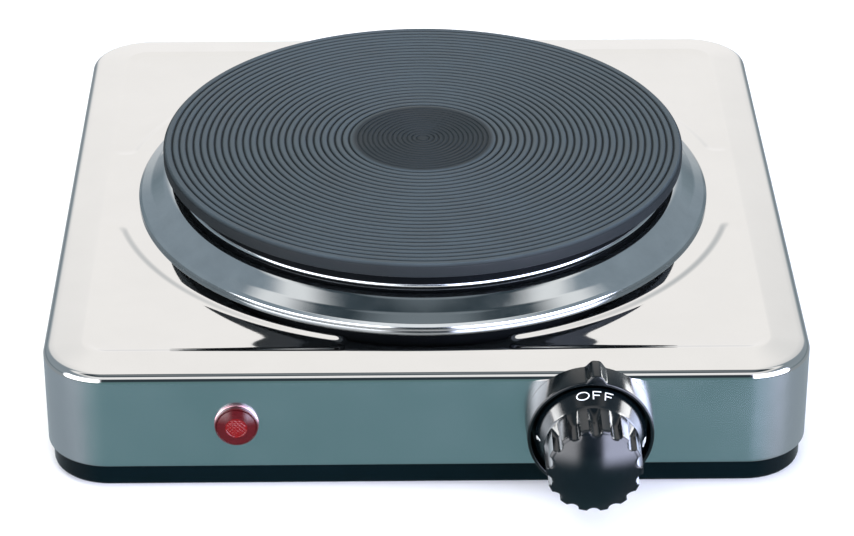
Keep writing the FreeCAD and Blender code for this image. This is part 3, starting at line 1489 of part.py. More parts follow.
def check_and_write():
    """Check every object and write each piece's solid to its own file."""
    doc.recompute()
    for thing in doc.Objects:
        if {"Invalid", "Error"} & set(thing.State):
            raise RuntimeError(f"{thing.Name} failed: {thing.State}")
    os.makedirs("parts", exist_ok=True)
    for thing in nodes:
        shape = thing.Shape
        if shape.isNull() or not shape.isValid() or not shape.Solids:
            raise RuntimeError(f"{thing.Label} has no valid solid")
        shape.exportStep(f"parts/{thing.Label}.step")
        print(f"{thing.Label}: {len(shape.Solids)} solid(s), {shape.Volume:.1f} mm3")


make_housing()
make_posts()
make_base()
make_plate()
make_heating()
make_ring()
make_clamp()
make_collar()
make_knob()
make_spindle()
make_bush()
make_frame()
make_contacts()
make_lamp()
make_gland()
make_mains_block()
make_earth()
make_wires()
check_and_write()
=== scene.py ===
"""The looks of a single-plate electric hot plate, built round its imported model.

Sizes in this file are millimetres, in the model's own frame: +Z is up and the knob faces -Y.
They are turned to metres where a mesh is made.
"""

import logging
import math
from dataclasses import dataclass
from enum import Enum

import bmesh
import bpy
import numpy as np
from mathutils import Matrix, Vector


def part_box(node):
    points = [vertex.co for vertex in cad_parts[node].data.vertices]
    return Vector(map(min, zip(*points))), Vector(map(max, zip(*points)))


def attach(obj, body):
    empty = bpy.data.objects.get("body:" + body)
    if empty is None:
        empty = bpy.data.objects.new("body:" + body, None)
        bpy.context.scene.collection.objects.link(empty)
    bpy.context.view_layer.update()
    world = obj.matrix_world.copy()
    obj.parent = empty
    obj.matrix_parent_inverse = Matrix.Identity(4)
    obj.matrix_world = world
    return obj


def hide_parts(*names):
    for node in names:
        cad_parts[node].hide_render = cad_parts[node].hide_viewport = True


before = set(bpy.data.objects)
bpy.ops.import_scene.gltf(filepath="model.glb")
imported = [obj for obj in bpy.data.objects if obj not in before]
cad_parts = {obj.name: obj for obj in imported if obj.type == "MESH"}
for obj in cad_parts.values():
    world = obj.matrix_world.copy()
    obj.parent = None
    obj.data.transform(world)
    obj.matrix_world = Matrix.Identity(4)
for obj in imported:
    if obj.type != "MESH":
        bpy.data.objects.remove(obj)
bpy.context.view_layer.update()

MM = 0.001
log = logging.getLogger("hot_plate")


# ---- shapes ------------------------------------------------------------------------------------


def corners_of(node: str) -> tuple[np.ndarray, np.ndarray]:
    """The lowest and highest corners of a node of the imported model.

    Args:
        node: the node's name.

    Returns:
        Both corners, in millimetres.
    """
    low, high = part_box(node)
    return np.array(low) / MM, np.array(high) / MM


def smoothstep(value: np.ndarray) -> np.ndarray:
    """3t^2 - 2t^3, with t held between 0 and 1."""
    t = np.clip(value, 0.0, 1.0)
    return t * t * (3.0 - 2.0 * t)


def smooth_min(a: np.ndarray, b: np.ndarray, blend: float) -> np.ndarray:
    """The lower of two values, rounded where they cross.

    With h = 1/2 + (b - a) / (2 blend), held between 0 and 1, it is b + (a - b) h - blend h (1 - h).

    Args:
        a: first values.
        b: second values.
        blend: how far from the crossing the rounding reaches.

    Returns:
        The rounded lower values.
    """
    h = np.clip(0.5 + 0.5 * (b - a) / blend, 0.0, 1.0)
    return b + (a - b) * h - blend * h * (1.0 - h)


def rounded_line(corners: list[tuple[float, float, float]], steps: int = 8) -> np.ndarray:
    """A line through corners, each bend an arc that touches both its sides.

    An arc of radius r at a corner whose sides are 2h apart has its centre r / sin(h) from the
    corner along the line that halves the angle, and starts r / tan(h) before the corner.

    Args:
        corners: (x, y, radius) of each corner; the first and the last keep their corner.
        steps: parts that each arc is divided into.

    Returns:
        The points, as rows of (x, y).
    """
    points = [np.array([corners[0][:2]])]
    for before, corner, after in zip(corners, corners[1:], corners[2:]):
        here = np.array(corner[:2])
        back = np.array(before[:2]) - here
        forth = np.array(after[:2]) - here
        back, forth = back / np.linalg.norm(back), forth / np.linalg.norm(forth)
        half = math.acos(np.clip(back @ forth, -1.0, 1.0)) / 2.0
        if corner[2] <= 0.0 or half > math.radians(89.5):
            points.append(here[None])
            continue
        inward = (back + forth) / np.linalg.norm(back + forth)
        centre = here + inward * corner[2] / math.sin(half)
        first = here + back * corner[2] / math.tan(half) - centre
        turn = math.copysign(math.pi - 2.0 * half, first[1] * back[0] - first[0] * back[1])
        angle = np.linspace(0.0, turn, steps + 1)[:, None]
        across = np.array([-first[1], first[0]])
        points.append(centre + first * np.cos(angle) + across * np.sin(angle))
    points.append(np.array([corners[-1][:2]]))
    return np.concatenate(points)


def outward(points: np.ndarray, quads: np.ndarray) -> np.ndarray:
    """Turn the faces of a closed shell outwards.

    The shell's volume is a sixth of the sum of p0 . (p1 x p2) over its triangles, and is negative
    where the faces point inwards.

    Args:
        points: the vertices.
        quads: four vertex numbers for each face.

    Returns:
        The same faces, each reversed if the volume came out negative.
    """
    a, b, c, d = (points[quads[:, column]] for column in range(4))
    volume = np.einsum("ij,ij->", a, np.cross(b, c)) + np.einsum("ij,ij->", a, np.cross(c, d))
    return quads[:, ::-1] if volume < 0.0 else quads


def skin(
    name: str,
    grid: np.ndarray,
    ring: bool = False,
    sharp: float = 38.0,
    wear_and_shade: np.ndarray | None = None,
) -> bpy.types.Object:
    """A closed mesh from a grid of points whose columns run round.

    Args:
        name: the piece's name.
        grid: the points, as rows, columns and (x, y, z) in millimetres.
        ring: whether the rows close up too; otherwise the first and last row are poles.
        sharp: edges that bend more than this many degrees stay sharp.
        wear_and_shade: for each point, how much of the finish's second look it has, from 0 to 1.

    Returns:
        The object, at the origin with its place in its mesh.
    """
    rows, columns, _ = grid.shape
    i = np.arange(rows if ring else rows - 1)[:, None]
    j = np.arange(columns)[None, :]
    below, beside = (i + 1) % rows * columns, (j + 1) % columns
    here = i * columns
    quads = np.stack([here + j, here + beside, below + beside, below + j], axis=-1).reshape(-1, 4)
    points = grid.reshape(-1, 3)
    mesh = bpy.data.meshes.new(name)
    mesh.from_pydata((points * MM).tolist(), [], outward(points, quads).tolist())
    if wear_and_shade is not None:
        layer = mesh.attributes.new("wear_and_shade", "FLOAT", "POINT")
        layer.data.foreach_set("value", np.broadcast_to(wear_and_shade, (rows, columns)).ravel())
    if not ring:
        close_poles(mesh)
    return finished(name, mesh, sharp)


def close_poles(mesh: bpy.types.Mesh) -> None:
    """Merge the points that lie on one another, which makes each pole one vertex."""
    form = bmesh.new()
    form.from_mesh(mesh)
    bmesh.ops.remove_doubles(form, verts=form.verts, dist=1e-7)
    form.to_mesh(mesh)
    form.free()


def finished(name: str, mesh: bpy.types.Mesh, sharp: float) -> bpy.types.Object:
    """Shade a mesh smooth between its sharp edges and put its object into the scene."""
    mesh.polygons.foreach_set("use_smooth", np.ones(len(mesh.polygons), dtype=bool))
    mesh.set_sharp_from_angle(angle=math.radians(sharp))
    piece = bpy.data.objects.new(name, mesh)
    bpy.context.scene.collection.objects.link(piece)
    return piece


class Facing(Enum):
    """The ways that a turned piece's axis points."""

    UP = "up"
    FRONT = "front"


@dataclass(frozen=True)
class Axis:
    """The line that a piece is turned about."""

    x: float
    y: float
    z: float
    facing: Facing

    def place(self, radius: np.ndarray, angle: np.ndarray, height: np.ndarray) -> np.ndarray:
        """Points round the axis.

        Facing up, a point is (x + r cos a, y + r sin a, z + h). Facing the front it is
        (x + r sin a, y - h, z + r cos a), so that a runs clockwise from the top.

        Args:
            radius: distances from the axis.
            angle: angles round it, in radians.
            height: distances along it.

        Returns:
            The points, with x, y and z along the last axis.
        """
        radius, angle, height = np.broadcast_arrays(radius, angle, height)
        along, across = radius * np.cos(angle), radius * np.sin(angle)
        if self.facing is Facing.UP:
            return np.stack([self.x + along, self.y + across, self.z + height], axis=-1)
        return np.stack([self.x + across, self.y - height, self.z + along], axis=-1)


def round_angles(count: int) -> np.ndarray:
    """Equal angles round a full turn, in radians."""
    return np.arange(count) * (2.0 * math.pi / count)


def turned(name: str, axis: Axis, profile: np.ndarray, count: int, ring: bool) -> bpy.types.Object:
    """A piece turned from a profile: every point of the profile is carried round the axis.

    Args:
        name: the piece's name.
        axis: the line it is turned about.
        profile: rows of (radius, height).
        count: columns round the axis.
        ring: whether the profile is a closed loop off the axis.

    Returns:
        The object.
    """
    grid = axis.place(profile[:, :1], round_angles(count)[None, :], profile[:, 1:])
    return skin(name, grid, ring)


# ---- finishes ----------------------------------------------------------------------------------


def linear(colour: str) -> tuple[float, float, float, float]:
    """An sRGB hex colour as linear red, green, blue and alpha."""
    parts = [int(colour[place : place + 2], 16) / 255.0 for place in (1, 3, 5)]
    bent = [part / 12.92 if part <= 0.04045 else ((part + 0.055) / 1.055) ** 2.4 for part in parts]
    return (*bent, 1.0)


def add_node(tree: bpy.types.NodeTree, kind: str, inputs: dict | None = None, **settings):
    """Add a node with its settings and its inputs.

    Args:
        tree: the node tree.
        kind: the node's type.
        inputs: for each input's name or number, a socket to link or a value to set.
        settings: the node's own properties.

    Returns:
        The node.
    """
    node = tree.nodes.new(kind)
    for name, value in settings.items():
        setattr(node, name, value)
    for name, value in (inputs or {}).items():
        if isinstance(value, bpy.types.NodeSocket):
            tree.links.new(value, node.inputs[name])
        else:
            node.inputs[name].default_value = value
    return node


def per_metre(size: float) -> float:
    """The scale of a pattern on coordinates in metres whose features are size millimetres wide."""
    return 1000.0 / size


@dataclass(frozen=True)
class Finish:
    """A surface: the real material, how it was made, and what that gives the eye."""

    name: str
    colour: str
    roughness: float
    spread: float  # how far the roughness wanders
    patch: float  # size of its cloudy patches, mm
    shade: float  # how far the colour wanders
    grain: float  # size of the fine texture, mm
    relief: float  # height of the fine texture, mm
    metallic: float = 0.0
    ior: float = 1.5
    specular: float = 0.5
    # The second look is real wear on the housing's walls, and painted shade on the ring's collar, the cast
    # plate's grooves and side, and the lens's edge.
    worn_colour: str = ""  # the second look's colour, if it has one
    worn_roughness: float = 0.0  # how much rougher the second look is

    def constants(self) -> dict[str, float]:
        """Values that are the same all over the surface."""
        return {"Metallic": self.metallic, "IOR": self.ior, "Specular IOR Level": self.specular}

    def relief_field(self, tree: bpy.types.NodeTree, place: bpy.types.NodeSocket):
        """The fine texture's height, from 0 to 1: here a noise with the grain's size."""
        noise = add_node(
            tree,
            "ShaderNodeTexNoise",
            {"Vector": place, "Scale": per_metre(self.grain), "Detail": 3.0},
        )
        return noise.outputs[0]

    def material(self) -> bpy.types.Material:
        """The finish as a material, made once.

        Returns:
            The material.
        """
        found = bpy.data.materials.get(self.name)
        if found is not None:
            return found
        made = bpy.data.materials.new(self.name)
        made.use_nodes = True
        tree = made.node_tree
        tree.nodes.clear()
        place = add_node(tree, "ShaderNodeTexCoord").outputs["Object"]
        clouds = add_node(
            tree,
            "ShaderNodeTexNoise",
            {"Vector": place, "Scale": per_metre(self.patch), "Detail": 4.0, "Roughness": 0.6},
        )
        rough = add_node(
            tree,
            "ShaderNodeMapRange",
            {
                "Value": clouds.outputs[0],
                "From Min": 0.3,
                "From Max": 0.7,
                "To Min": max(self.roughness - self.spread, 0.01),
                "To Max": self.roughness + self.spread,
            },
        )
        tint = add_node(
            tree,
            "ShaderNodeMapRange",
            {
                "Value": clouds.outputs[0],
                "From Min": 0.3,
                "From Max": 0.7,
                "To Min": 1.0 - self.shade,
                "To Max": 1.0 + self.shade,
            },
        )
        # The second look's mask: real wear on the housing's walls, painted shade on the other pieces that
        # have it.
        wear_and_shade = add_node(tree, "ShaderNodeAttribute", attribute_name="wear_and_shade").outputs["Fac"]
        rougher = add_node(
            tree,
            "ShaderNodeMath",
            {0: wear_and_shade, 1: self.worn_roughness, 2: rough.outputs["Result"]},
            operation="MULTIPLY_ADD",
        )
        base = add_node(
            tree,
            "ShaderNodeMix",
            {0: wear_and_shade, 6: linear(self.colour), 7: linear(self.worn_colour or self.colour)},
            data_type="RGBA",
        )
        colour = add_node(
            tree,
            "ShaderNodeHueSaturation",
            {"Color": base.outputs[2], "Value": tint.outputs["Result"]},
        )
        bump = add_node(
            tree,
            "ShaderNodeBump",
            {
                "Height": self.relief_field(tree, place),
                "Distance": self.relief * MM,
                "Strength": 1.0,
            },
        )
        shader = add_node(
            tree,
            "ShaderNodeBsdfPrincipled",
            {
                "Base Color": colour.outputs[0],
                "Roughness": rougher.outputs[0],
                "Normal": bump.outputs[0],
                **self.constants(),
            },
        )
        add_node(tree, "ShaderNodeOutputMaterial", {"Surface": shader.outputs[0]})
        return made

    def dress(self, piece: bpy.types.Object) -> None:
        """Give a piece this finish in all its material slots."""
        made = self.material()
        if not piece.data.materials:
            piece.data.materials.append(made)
        for place in range(len(piece.material_slots)):
            piece.material_slots[place].material = made


@dataclass(frozen=True)
class TurnedFinish(Finish):
    """A lathe-turned or spun surface: its fine texture is rings round an upright axis."""

    centre_y: float = 0.0

    def relief_field(self, tree: bpy.types.NodeTree, place: bpy.types.NodeSocket):
        """Rings, a sine of the distance from the axis, broken up a little by a noise."""
        shifted = add_node(
            tree,
            "ShaderNodeMapping",
            {"Vector": place, "Location": (0.0, -self.centre_y * MM, 0.0)},
        )
        rings = add_node(
            tree,
            "ShaderNodeTexWave",
            {
                "Vector": shifted.outputs[0],
                "Scale": per_metre(self.grain) / 20.0,
                "Distortion": 1.5,
                "Detail": 2.0,
                "Detail Scale": 2.0,
            },
            wave_type="RINGS",
            rings_direction="Z",
        )
        return rings.outputs[1]


@dataclass(frozen=True)
class GlossFinish(Finish):
    """A moulded or glazed surface with a clear skin over its colour."""

    coat: float = 0.0
    coat_roughness: float = 0.03

    def constants(self) -> dict[str, float]:
        """The base's values, and the clear skin's."""
        skin_values = {"Coat Weight": self.coat, "Coat Roughness": self.coat_roughness}
        return {**super().constants(), **skin_values}


@dataclass(frozen=True)
class ClearFinish(Finish):
    """A see-through moulding or glass."""

    passing: float = 0.9

    def constants(self) -> dict[str, float]:
        """The base's values, and the share of light that passes through."""
        return {**super().constants(), "Transmission Weight": self.passing}


BODY_MIDDLE = float(sum(corner[1] for corner in corners_of("top_housing")) / 2.0)

# Stainless sheet, pressed and then mirror polished: clear reflections, a little cloudy from the
# buffing wheel, on a sheet that is very slightly wavy. The drawn walls are duller (worn).
STAINLESS = Finish(
    "polished_stainless_sheet", "#CBCAC8", 0.04, 0.015, 24.0, 0.015, 90.0, 0.001,
    metallic=1.0, worn_colour="#C6CBCE", worn_roughness=0.17,
)
# Steel sheet spun on a lathe and polished: softer reflections, with faint rings round the axis.
# The real rings are about 0.1 mm apart and are drawn 0.8 mm apart to show. The collar beside the
# hot plate is painted near black (worn): painted shade for the dark gap under the plate's rim.
SPUN_STEEL = TurnedFinish(
    "spun_polished_steel", "#C0C4C6", 0.10, 0.04, 9.0, 0.05, 0.8, 0.0012,
    metallic=1.0, worn_colour="#0B0D0F", worn_roughness=0.45, centre_y=BODY_MIDDLE,
)
# Cast iron turned on a lathe and sealed with heat-proof black: a dull grey-black sheen and the
# grain of the casting. The grooves, the side and the underside are painted near black (worn) as
# painted shade, and the middle with the fine grooves is darker.
CAST_IRON = TurnedFinish(
    "turned_cast_iron", "#384145", 0.54, 0.08, 14.0, 0.12, 0.7, 0.010,
    specular=0.2, worn_colour="#05090B", worn_roughness=0.12, centre_y=BODY_MIDDLE,
)
# Phenolic moulded in a polished die: deep black with a hard gloss.
PHENOLIC = GlossFinish(
    "moulded_phenolic", "#050A0D", 0.15, 0.04, 6.0, 0.10, 0.5, 0.0015, specular=0.32
)
# The collar's die is less polished than the knob's, so its black is softer.
SATIN_PHENOLIC = GlossFinish(
    "satin_phenolic", "#060B0D", 0.2, 0.06, 5.0, 0.10, 0.45, 0.003, specular=0.32
)
# Vitreous enamel fired on steel: glassy black with a faint orange peel.
ENAMEL = GlossFinish(
    "vitreous_black_enamel", "#02080B", 0.10, 0.04, 18.0, 0.12, 3.0, 0.006, specular=0.18
)
# Paint wiped into the dial's moulded marks: a dry white.
DIAL_PAINT = Finish("white_dial_paint", "#E9ECEC", 0.55, 0.08, 1.2, 0.04, 0.2, 0.002)
# Tinted acrylic, injection moulded: clear red with a wet gloss. Outside its prismatic middle the
# lens is painted a darker red (worn): painted shade at its edge.
RED_ACRYLIC = ClearFinish(
    "red_acrylic", "#640A0C", 0.17, 0.03, 3.0, 0.06, 0.8, 0.001,
    ior=1.49, specular=0.2, worn_colour="#430D11", passing=0.25,
)
# Satin chromium on a moulded bezel, tinted pink: a painted reflection of the red lens.
CHROME_WITH_PAINTED_REFLECTION = Finish("satin_chromium_painted_red_reflection", "#B88F95", 0.24, 0.04, 4.0, 0.03, 0.6, 0.0006, metallic=1.0)
# Zinc plate on pressed steel: pale grey-blue with a spangle of dull and bright patches.
ZINC = Finish("zinc_plated_steel", "#B4BABD", 0.34, 0.10, 2.2, 0.10, 0.5, 0.003, metallic=1.0)
# Turned brass, gone a little dull.
BRASS = Finish("turned_brass", "#C9A55A", 0.28, 0.08, 2.0, 0.08, 0.3, 0.002, metallic=1.0)
# Copper and nickel strip, rolled.
BIMETAL = Finish("rolled_bimetal", "#C0AE9A", 0.30, 0.07, 2.5, 0.06, 0.3, 0.002, metallic=1.0)
# The heater's tube steel, blued and greyed by heat.
ELEMENT = Finish("heat_blued_steel", "#5C5A5E", 0.48, 0.10, 3.0, 0.20, 0.6, 0.006, metallic=1.0)
# Steatite, pressed and fired: an off-white with a dry, slightly glazed skin.
CERAMIC = Finish("fired_steatite", "#E4DED0", 0.38, 0.08, 3.0, 0.05, 0.6, 0.006)
# Magnesia tamped round the coils: chalky and grainy.
MAGNESIA = Finish("tamped_magnesia", "#D8D2C4", 0.88, 0.05, 4.0, 0.08, 0.9, 0.05)
# Moulded rubber: matt black with a bloom.
RUBBER = Finish("moulded_rubber", "#16181A", 0.72, 0.08, 2.5, 0.12, 0.5, 0.012)
# Glass of the small neon bulb.
BULB_GLASS = ClearFinish("bulb_glass", "#F2EEE8", 0.03, 0.01, 2.0, 0.02, 1.0, 0.001, passing=0.95)
# Lacquered resistor.
RESISTOR = Finish("lacquered_resistor", "#B58A5C", 0.35, 0.06, 0.8, 0.10, 0.3, 0.004)
# Silicone insulation, extruded: soft satin colours.
BLACK_WIRE = Finish("black_silicone_wire", "#1A1B1D", 0.46, 0.06, 2.0, 0.08, 0.6, 0.004)
BROWN_WIRE = Finish("brown_silicone_wire", "#5B3521", 0.46, 0.06, 2.0, 0.08, 0.6, 0.004)
BLUE_WIRE = Finish("blue_silicone_wire", "#2B4F8C", 0.46, 0.06, 2.0, 0.08, 0.6, 0.004)
GREEN_WIRE = Finish("green_silicone_wire", "#3F7A3A", 0.46, 0.06, 2.0, 0.08, 0.6, 0.004)


# ---- housing -----------------------------------------------------------------------------------


@dataclass
class Housing:
    """The pressed stainless housing: deck with four corner pockets, border, walls and hem."""

    corner: float = 21.0
    sheet: float = 0.6
    border: float = 13.0
    border_drop: float = 1.4
    edge: float = 2.5
    dip: float = 0.5
    slope: float = 3.6
    floor_fall: float = 0.028  # fall of the pockets' floors beside the plateau, mm for each mm
    fall_reach: float = 15.0  # how far from the plateau the floors fall
    plateau: float = 104.8
    bridge: float = 25.5
    blend: float = 3.2  # rounding where the pockets' sides meet
    well: float = 86.0
    hem: float = 5.0
    columns: int = 660
    deck_rows: int = 96

    def __post_init__(self) -> None:
        """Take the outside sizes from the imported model."""
        low, high = corners_of("top_housing")
        self.half = (high - low)[:2] / 2.0
        self.middle = (high + low)[:2] / 2.0
        self.top, self.skirt = float(high[2]), float(low[2])

    def crease_distance(self, x: np.ndarray, y: np.ndarray) -> np.ndarray:
        """How far inside the crease a point lies, negative on the border.

        With q = |p| less the half size less the corner's radius r, the distance outside is
        |max(q, 0)| + min(max(qx, qy), 0) - r.

        Args:
            x: places across, from the deck's middle.
            y: places along, from the deck's middle.

        Returns:
            The distances.
        """
        radius = self.corner - self.border
        qx = np.abs(x) - (self.half[0] - self.border - radius)
        qy = np.abs(y) - (self.half[1] - self.border - radius)
        outside = np.hypot(np.maximum(qx, 0.0), np.maximum(qy, 0.0))
        return radius - outside - np.minimum(np.maximum(qx, qy), 0.0)

    def pocket_distance(self, x: np.ndarray, y: np.ndarray) -> np.ndarray:
        """How far inside a pocket's upper edge a point lies.

        It is the rounded lower one of the distances from the crease, the plateau's circle and the
        bridges between the pockets.
        """
        arc = np.hypot(x, y) - self.plateau
        bridge = np.minimum(np.abs(x), np.abs(y)) - self.bridge
        sides = smooth_min(self.crease_distance(x, y), arc, self.blend)
        return smooth_min(sides, bridge, self.blend)

    def deck_height(self, x: np.ndarray, y: np.ndarray) -> np.ndarray:
        """The deck's height: flat, less the pockets, less the border's fall.

        A pocket's side is dip times smoothstep(distance / slope), and its floor falls on by
        a reach times tanh(distance from the plateau / reach). The border falls evenly with the
        distance d outside the crease, and (d + sqrt(d^2 + w^2)) / 2 rounds the crease.
        """
        inside = self.pocket_distance(x, y)
        dip = self.dip * smoothstep(inside / self.slope)
        away = np.maximum(np.hypot(x, y) - self.plateau - self.slope, 0.0)
        fall = self.fall_reach * np.tanh(away / self.fall_reach)
        dip = dip + self.floor_fall * fall * smoothstep(inside / (self.slope * 3.0))
        out = -self.crease_distance(x, y)
        border = (out + np.hypot(out, 0.5)) / 2.0 * self.border_drop / self.border
        return self.top - dip - border

    def outline(self) -> tuple[np.ndarray, np.ndarray]:
        """Points on the walls' outline, closer at the corners and at the pockets' ends.

        Four quarter circles, joined by their straight sides, are walked by length. The columns
        share out the integral of a density along that walk.

        Returns:
            The points and the outward normals, as rows of (x, y).
        """
        quarter = np.linspace(0.0, math.pi / 2.0, 60)
        angle = np.concatenate([quarter + turn * math.pi / 2.0 for turn in range(4)])
        normal = np.stack([np.cos(angle), np.sin(angle)], axis=1)
        side_x = np.repeat([1.0, -1.0, -1.0, 1.0], 60) * (self.half[0] - self.corner)
        side_y = np.repeat([1.0, 1.0, -1.0, -1.0], 60) * (self.half[1] - self.corner)
        points = np.stack([side_x, side_y], axis=1) + normal * self.corner
        points = np.concatenate([points, points[:1]])
        normal = np.concatenate([normal, normal[:1]])
        walked = np.concatenate([[0.0], np.cumsum(np.hypot(*np.diff(points, axis=0).T))])

        fine = np.linspace(0.0, walked[-1], 6001)
        x, y = np.interp(fine, walked, points[:, 0]), np.interp(fine, walked, points[:, 1])
        reach = self.plateau / np.hypot(x, y)
        end = np.minimum(np.abs(x), np.abs(y)) * reach - self.bridge - self.slope / 2.0
        turning = np.minimum(np.abs(np.abs(x) - self.half[0]), np.abs(np.abs(y) - self.half[1]))
        density = 1.0 + 3.5 * np.exp(-((end / 4.5) ** 2)) + 2.0 * (turning > 0.02)
        share = np.concatenate([[0.0], np.cumsum((density[1:] + density[:-1]) / 2.0)])
        wanted = np.arange(self.columns) / self.columns * share[-1]
        at = np.interp(wanted, share, fine)
        place = np.stack([np.interp(at, walked, points[:, k]) for k in (0, 1)], axis=1)
        way = np.stack([np.interp(at, walked, normal[:, k]) for k in (0, 1)], axis=1)
        return place, way / np.linalg.norm(way, axis=1, keepdims=True)

    def deck_shares(self, start: np.ndarray, end: np.ndarray) -> np.ndarray:
        """How far out each deck row lies in each column, from 0 to 1.

        Along each column a density is high where the sheet bends, and the rows share out its
        integral.

        Args:
            start: the columns' inner ends.
            end: the columns' outer ends.

        Returns:
            An array of columns by rows.
        """
        t = np.linspace(0.0, 1.0, 420)
        x = start[:, :1] + (end - start)[:, :1] * t
        y = start[:, 1:] + (end - start)[:, 1:] * t
        inside, crease = self.pocket_distance(x, y), self.crease_distance(x, y)
        density = 1.0 + 7.0 * np.exp(-(((inside - self.slope / 2.0) / 2.6) ** 2))
        density = density + 9.0 * np.exp(-((crease / 1.3) ** 2))
        share = np.cumsum((density[:, 1:] + density[:, :-1]) / 2.0, axis=1)
        share = np.concatenate([np.zeros((len(share), 1)), share], axis=1)
        share /= share[:, -1:]
        wanted = np.linspace(0.0, 1.0, self.deck_rows)
        above = (share[:, None, :] < wanted[None, :, None]).sum(axis=2)
        above = np.clip(above, 1, len(t) - 1)
        low = np.take_along_axis(share, above - 1, axis=1)
        high = np.take_along_axis(share, above, axis=1)
        part = (wanted[None, :] - low) / (high - low)
        return t[above - 1] + (t[above] - t[above - 1]) * np.clip(part, 0.0, 1.0)

    def build(self) -> bpy.types.Object:
        """Make the housing's skin and dress it.

        Its rows run from the well over the deck, round the edge, down the wall, round the folded
        hem, up inside and back under the deck to the well.

        Returns:
            The object.
        """
        points, normal = self.outline()
        tilt = math.atan(self.border_drop / self.border)
        shoulder = self.border - self.edge + self.edge * math.sin(tilt)
        centre = self.top - self.border_drop * shoulder / self.border - self.edge * math.cos(tilt)
        end = points - normal * (self.border - shoulder)
        start = end / np.linalg.norm(end, axis=1, keepdims=True) * self.well

        shares = self.deck_shares(start, end)
        x = start[:, :1] + (end - start)[:, :1] * shares
        y = start[:, 1:] + (end - start)[:, 1:] * shares
        deck = np.stack([x, y, self.deck_height(x, y)], axis=-1).transpose(1, 0, 2)

        bend = np.linspace(tilt, math.pi / 2.0, 11)[1:]
        fold = np.linspace(0.0, math.pi, 8)
        over = self.skirt + self.sheet
        wall = np.array([centre - 0.3, centre - 1.0, (centre + over) / 2.0, over + 1.0, over + 0.3])
        outside = np.concatenate(
            [
                np.stack([self.edge * (1.0 - np.sin(bend)), centre + self.edge * np.cos(bend)], 1),
                np.stack([np.zeros(5), wall], 1),
                np.stack([self.sheet * (1.0 - np.cos(fold)), over - self.sheet * np.sin(fold)], 1),
            ]
        )
        hem_top = self.skirt + self.hem
        inner = self.edge - self.sheet
        back = bend[::-1]
        inside = np.concatenate(
            [
                [[2.0 * self.sheet, hem_top - 0.2], [2.0 * self.sheet - 0.2, hem_top]],
                [[self.sheet, hem_top + 0.02], [self.sheet, hem_top + 0.5]],
                [[self.sheet, centre - 0.5]],
                np.stack([self.edge - inner * np.sin(back), centre + inner * np.cos(back)], 1),
            ]
        )
        rim = np.concatenate([outside, inside])
        flat = points[None] - normal[None] * rim[:, :1, None]
        height = np.broadcast_to(rim[:, 1:, None], (len(rim), self.columns, 1))
        walls = np.concatenate([flat, height], axis=2)
        under = deck[::-7] - np.array([0.0, 0.0, self.sheet])
        grid = np.concatenate([deck, walls, under, deck[:1] - np.array([0.0, 0.0, self.sheet])])
        grid = grid + np.array([self.middle[0], self.middle[1], 0.0])
        drawn = np.zeros((len(grid), 1))
        drawn[len(deck) + len(bend) : len(deck) + len(walls)] = 1.0
        piece = skin("housing_shell", grid, ring=True, wear_and_shade=drawn)
        STAINLESS.dress(piece)
        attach(piece, "root")
        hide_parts("top_housing")
        return piece


# ---- cooking plate -----------------------------------------------------------------------------


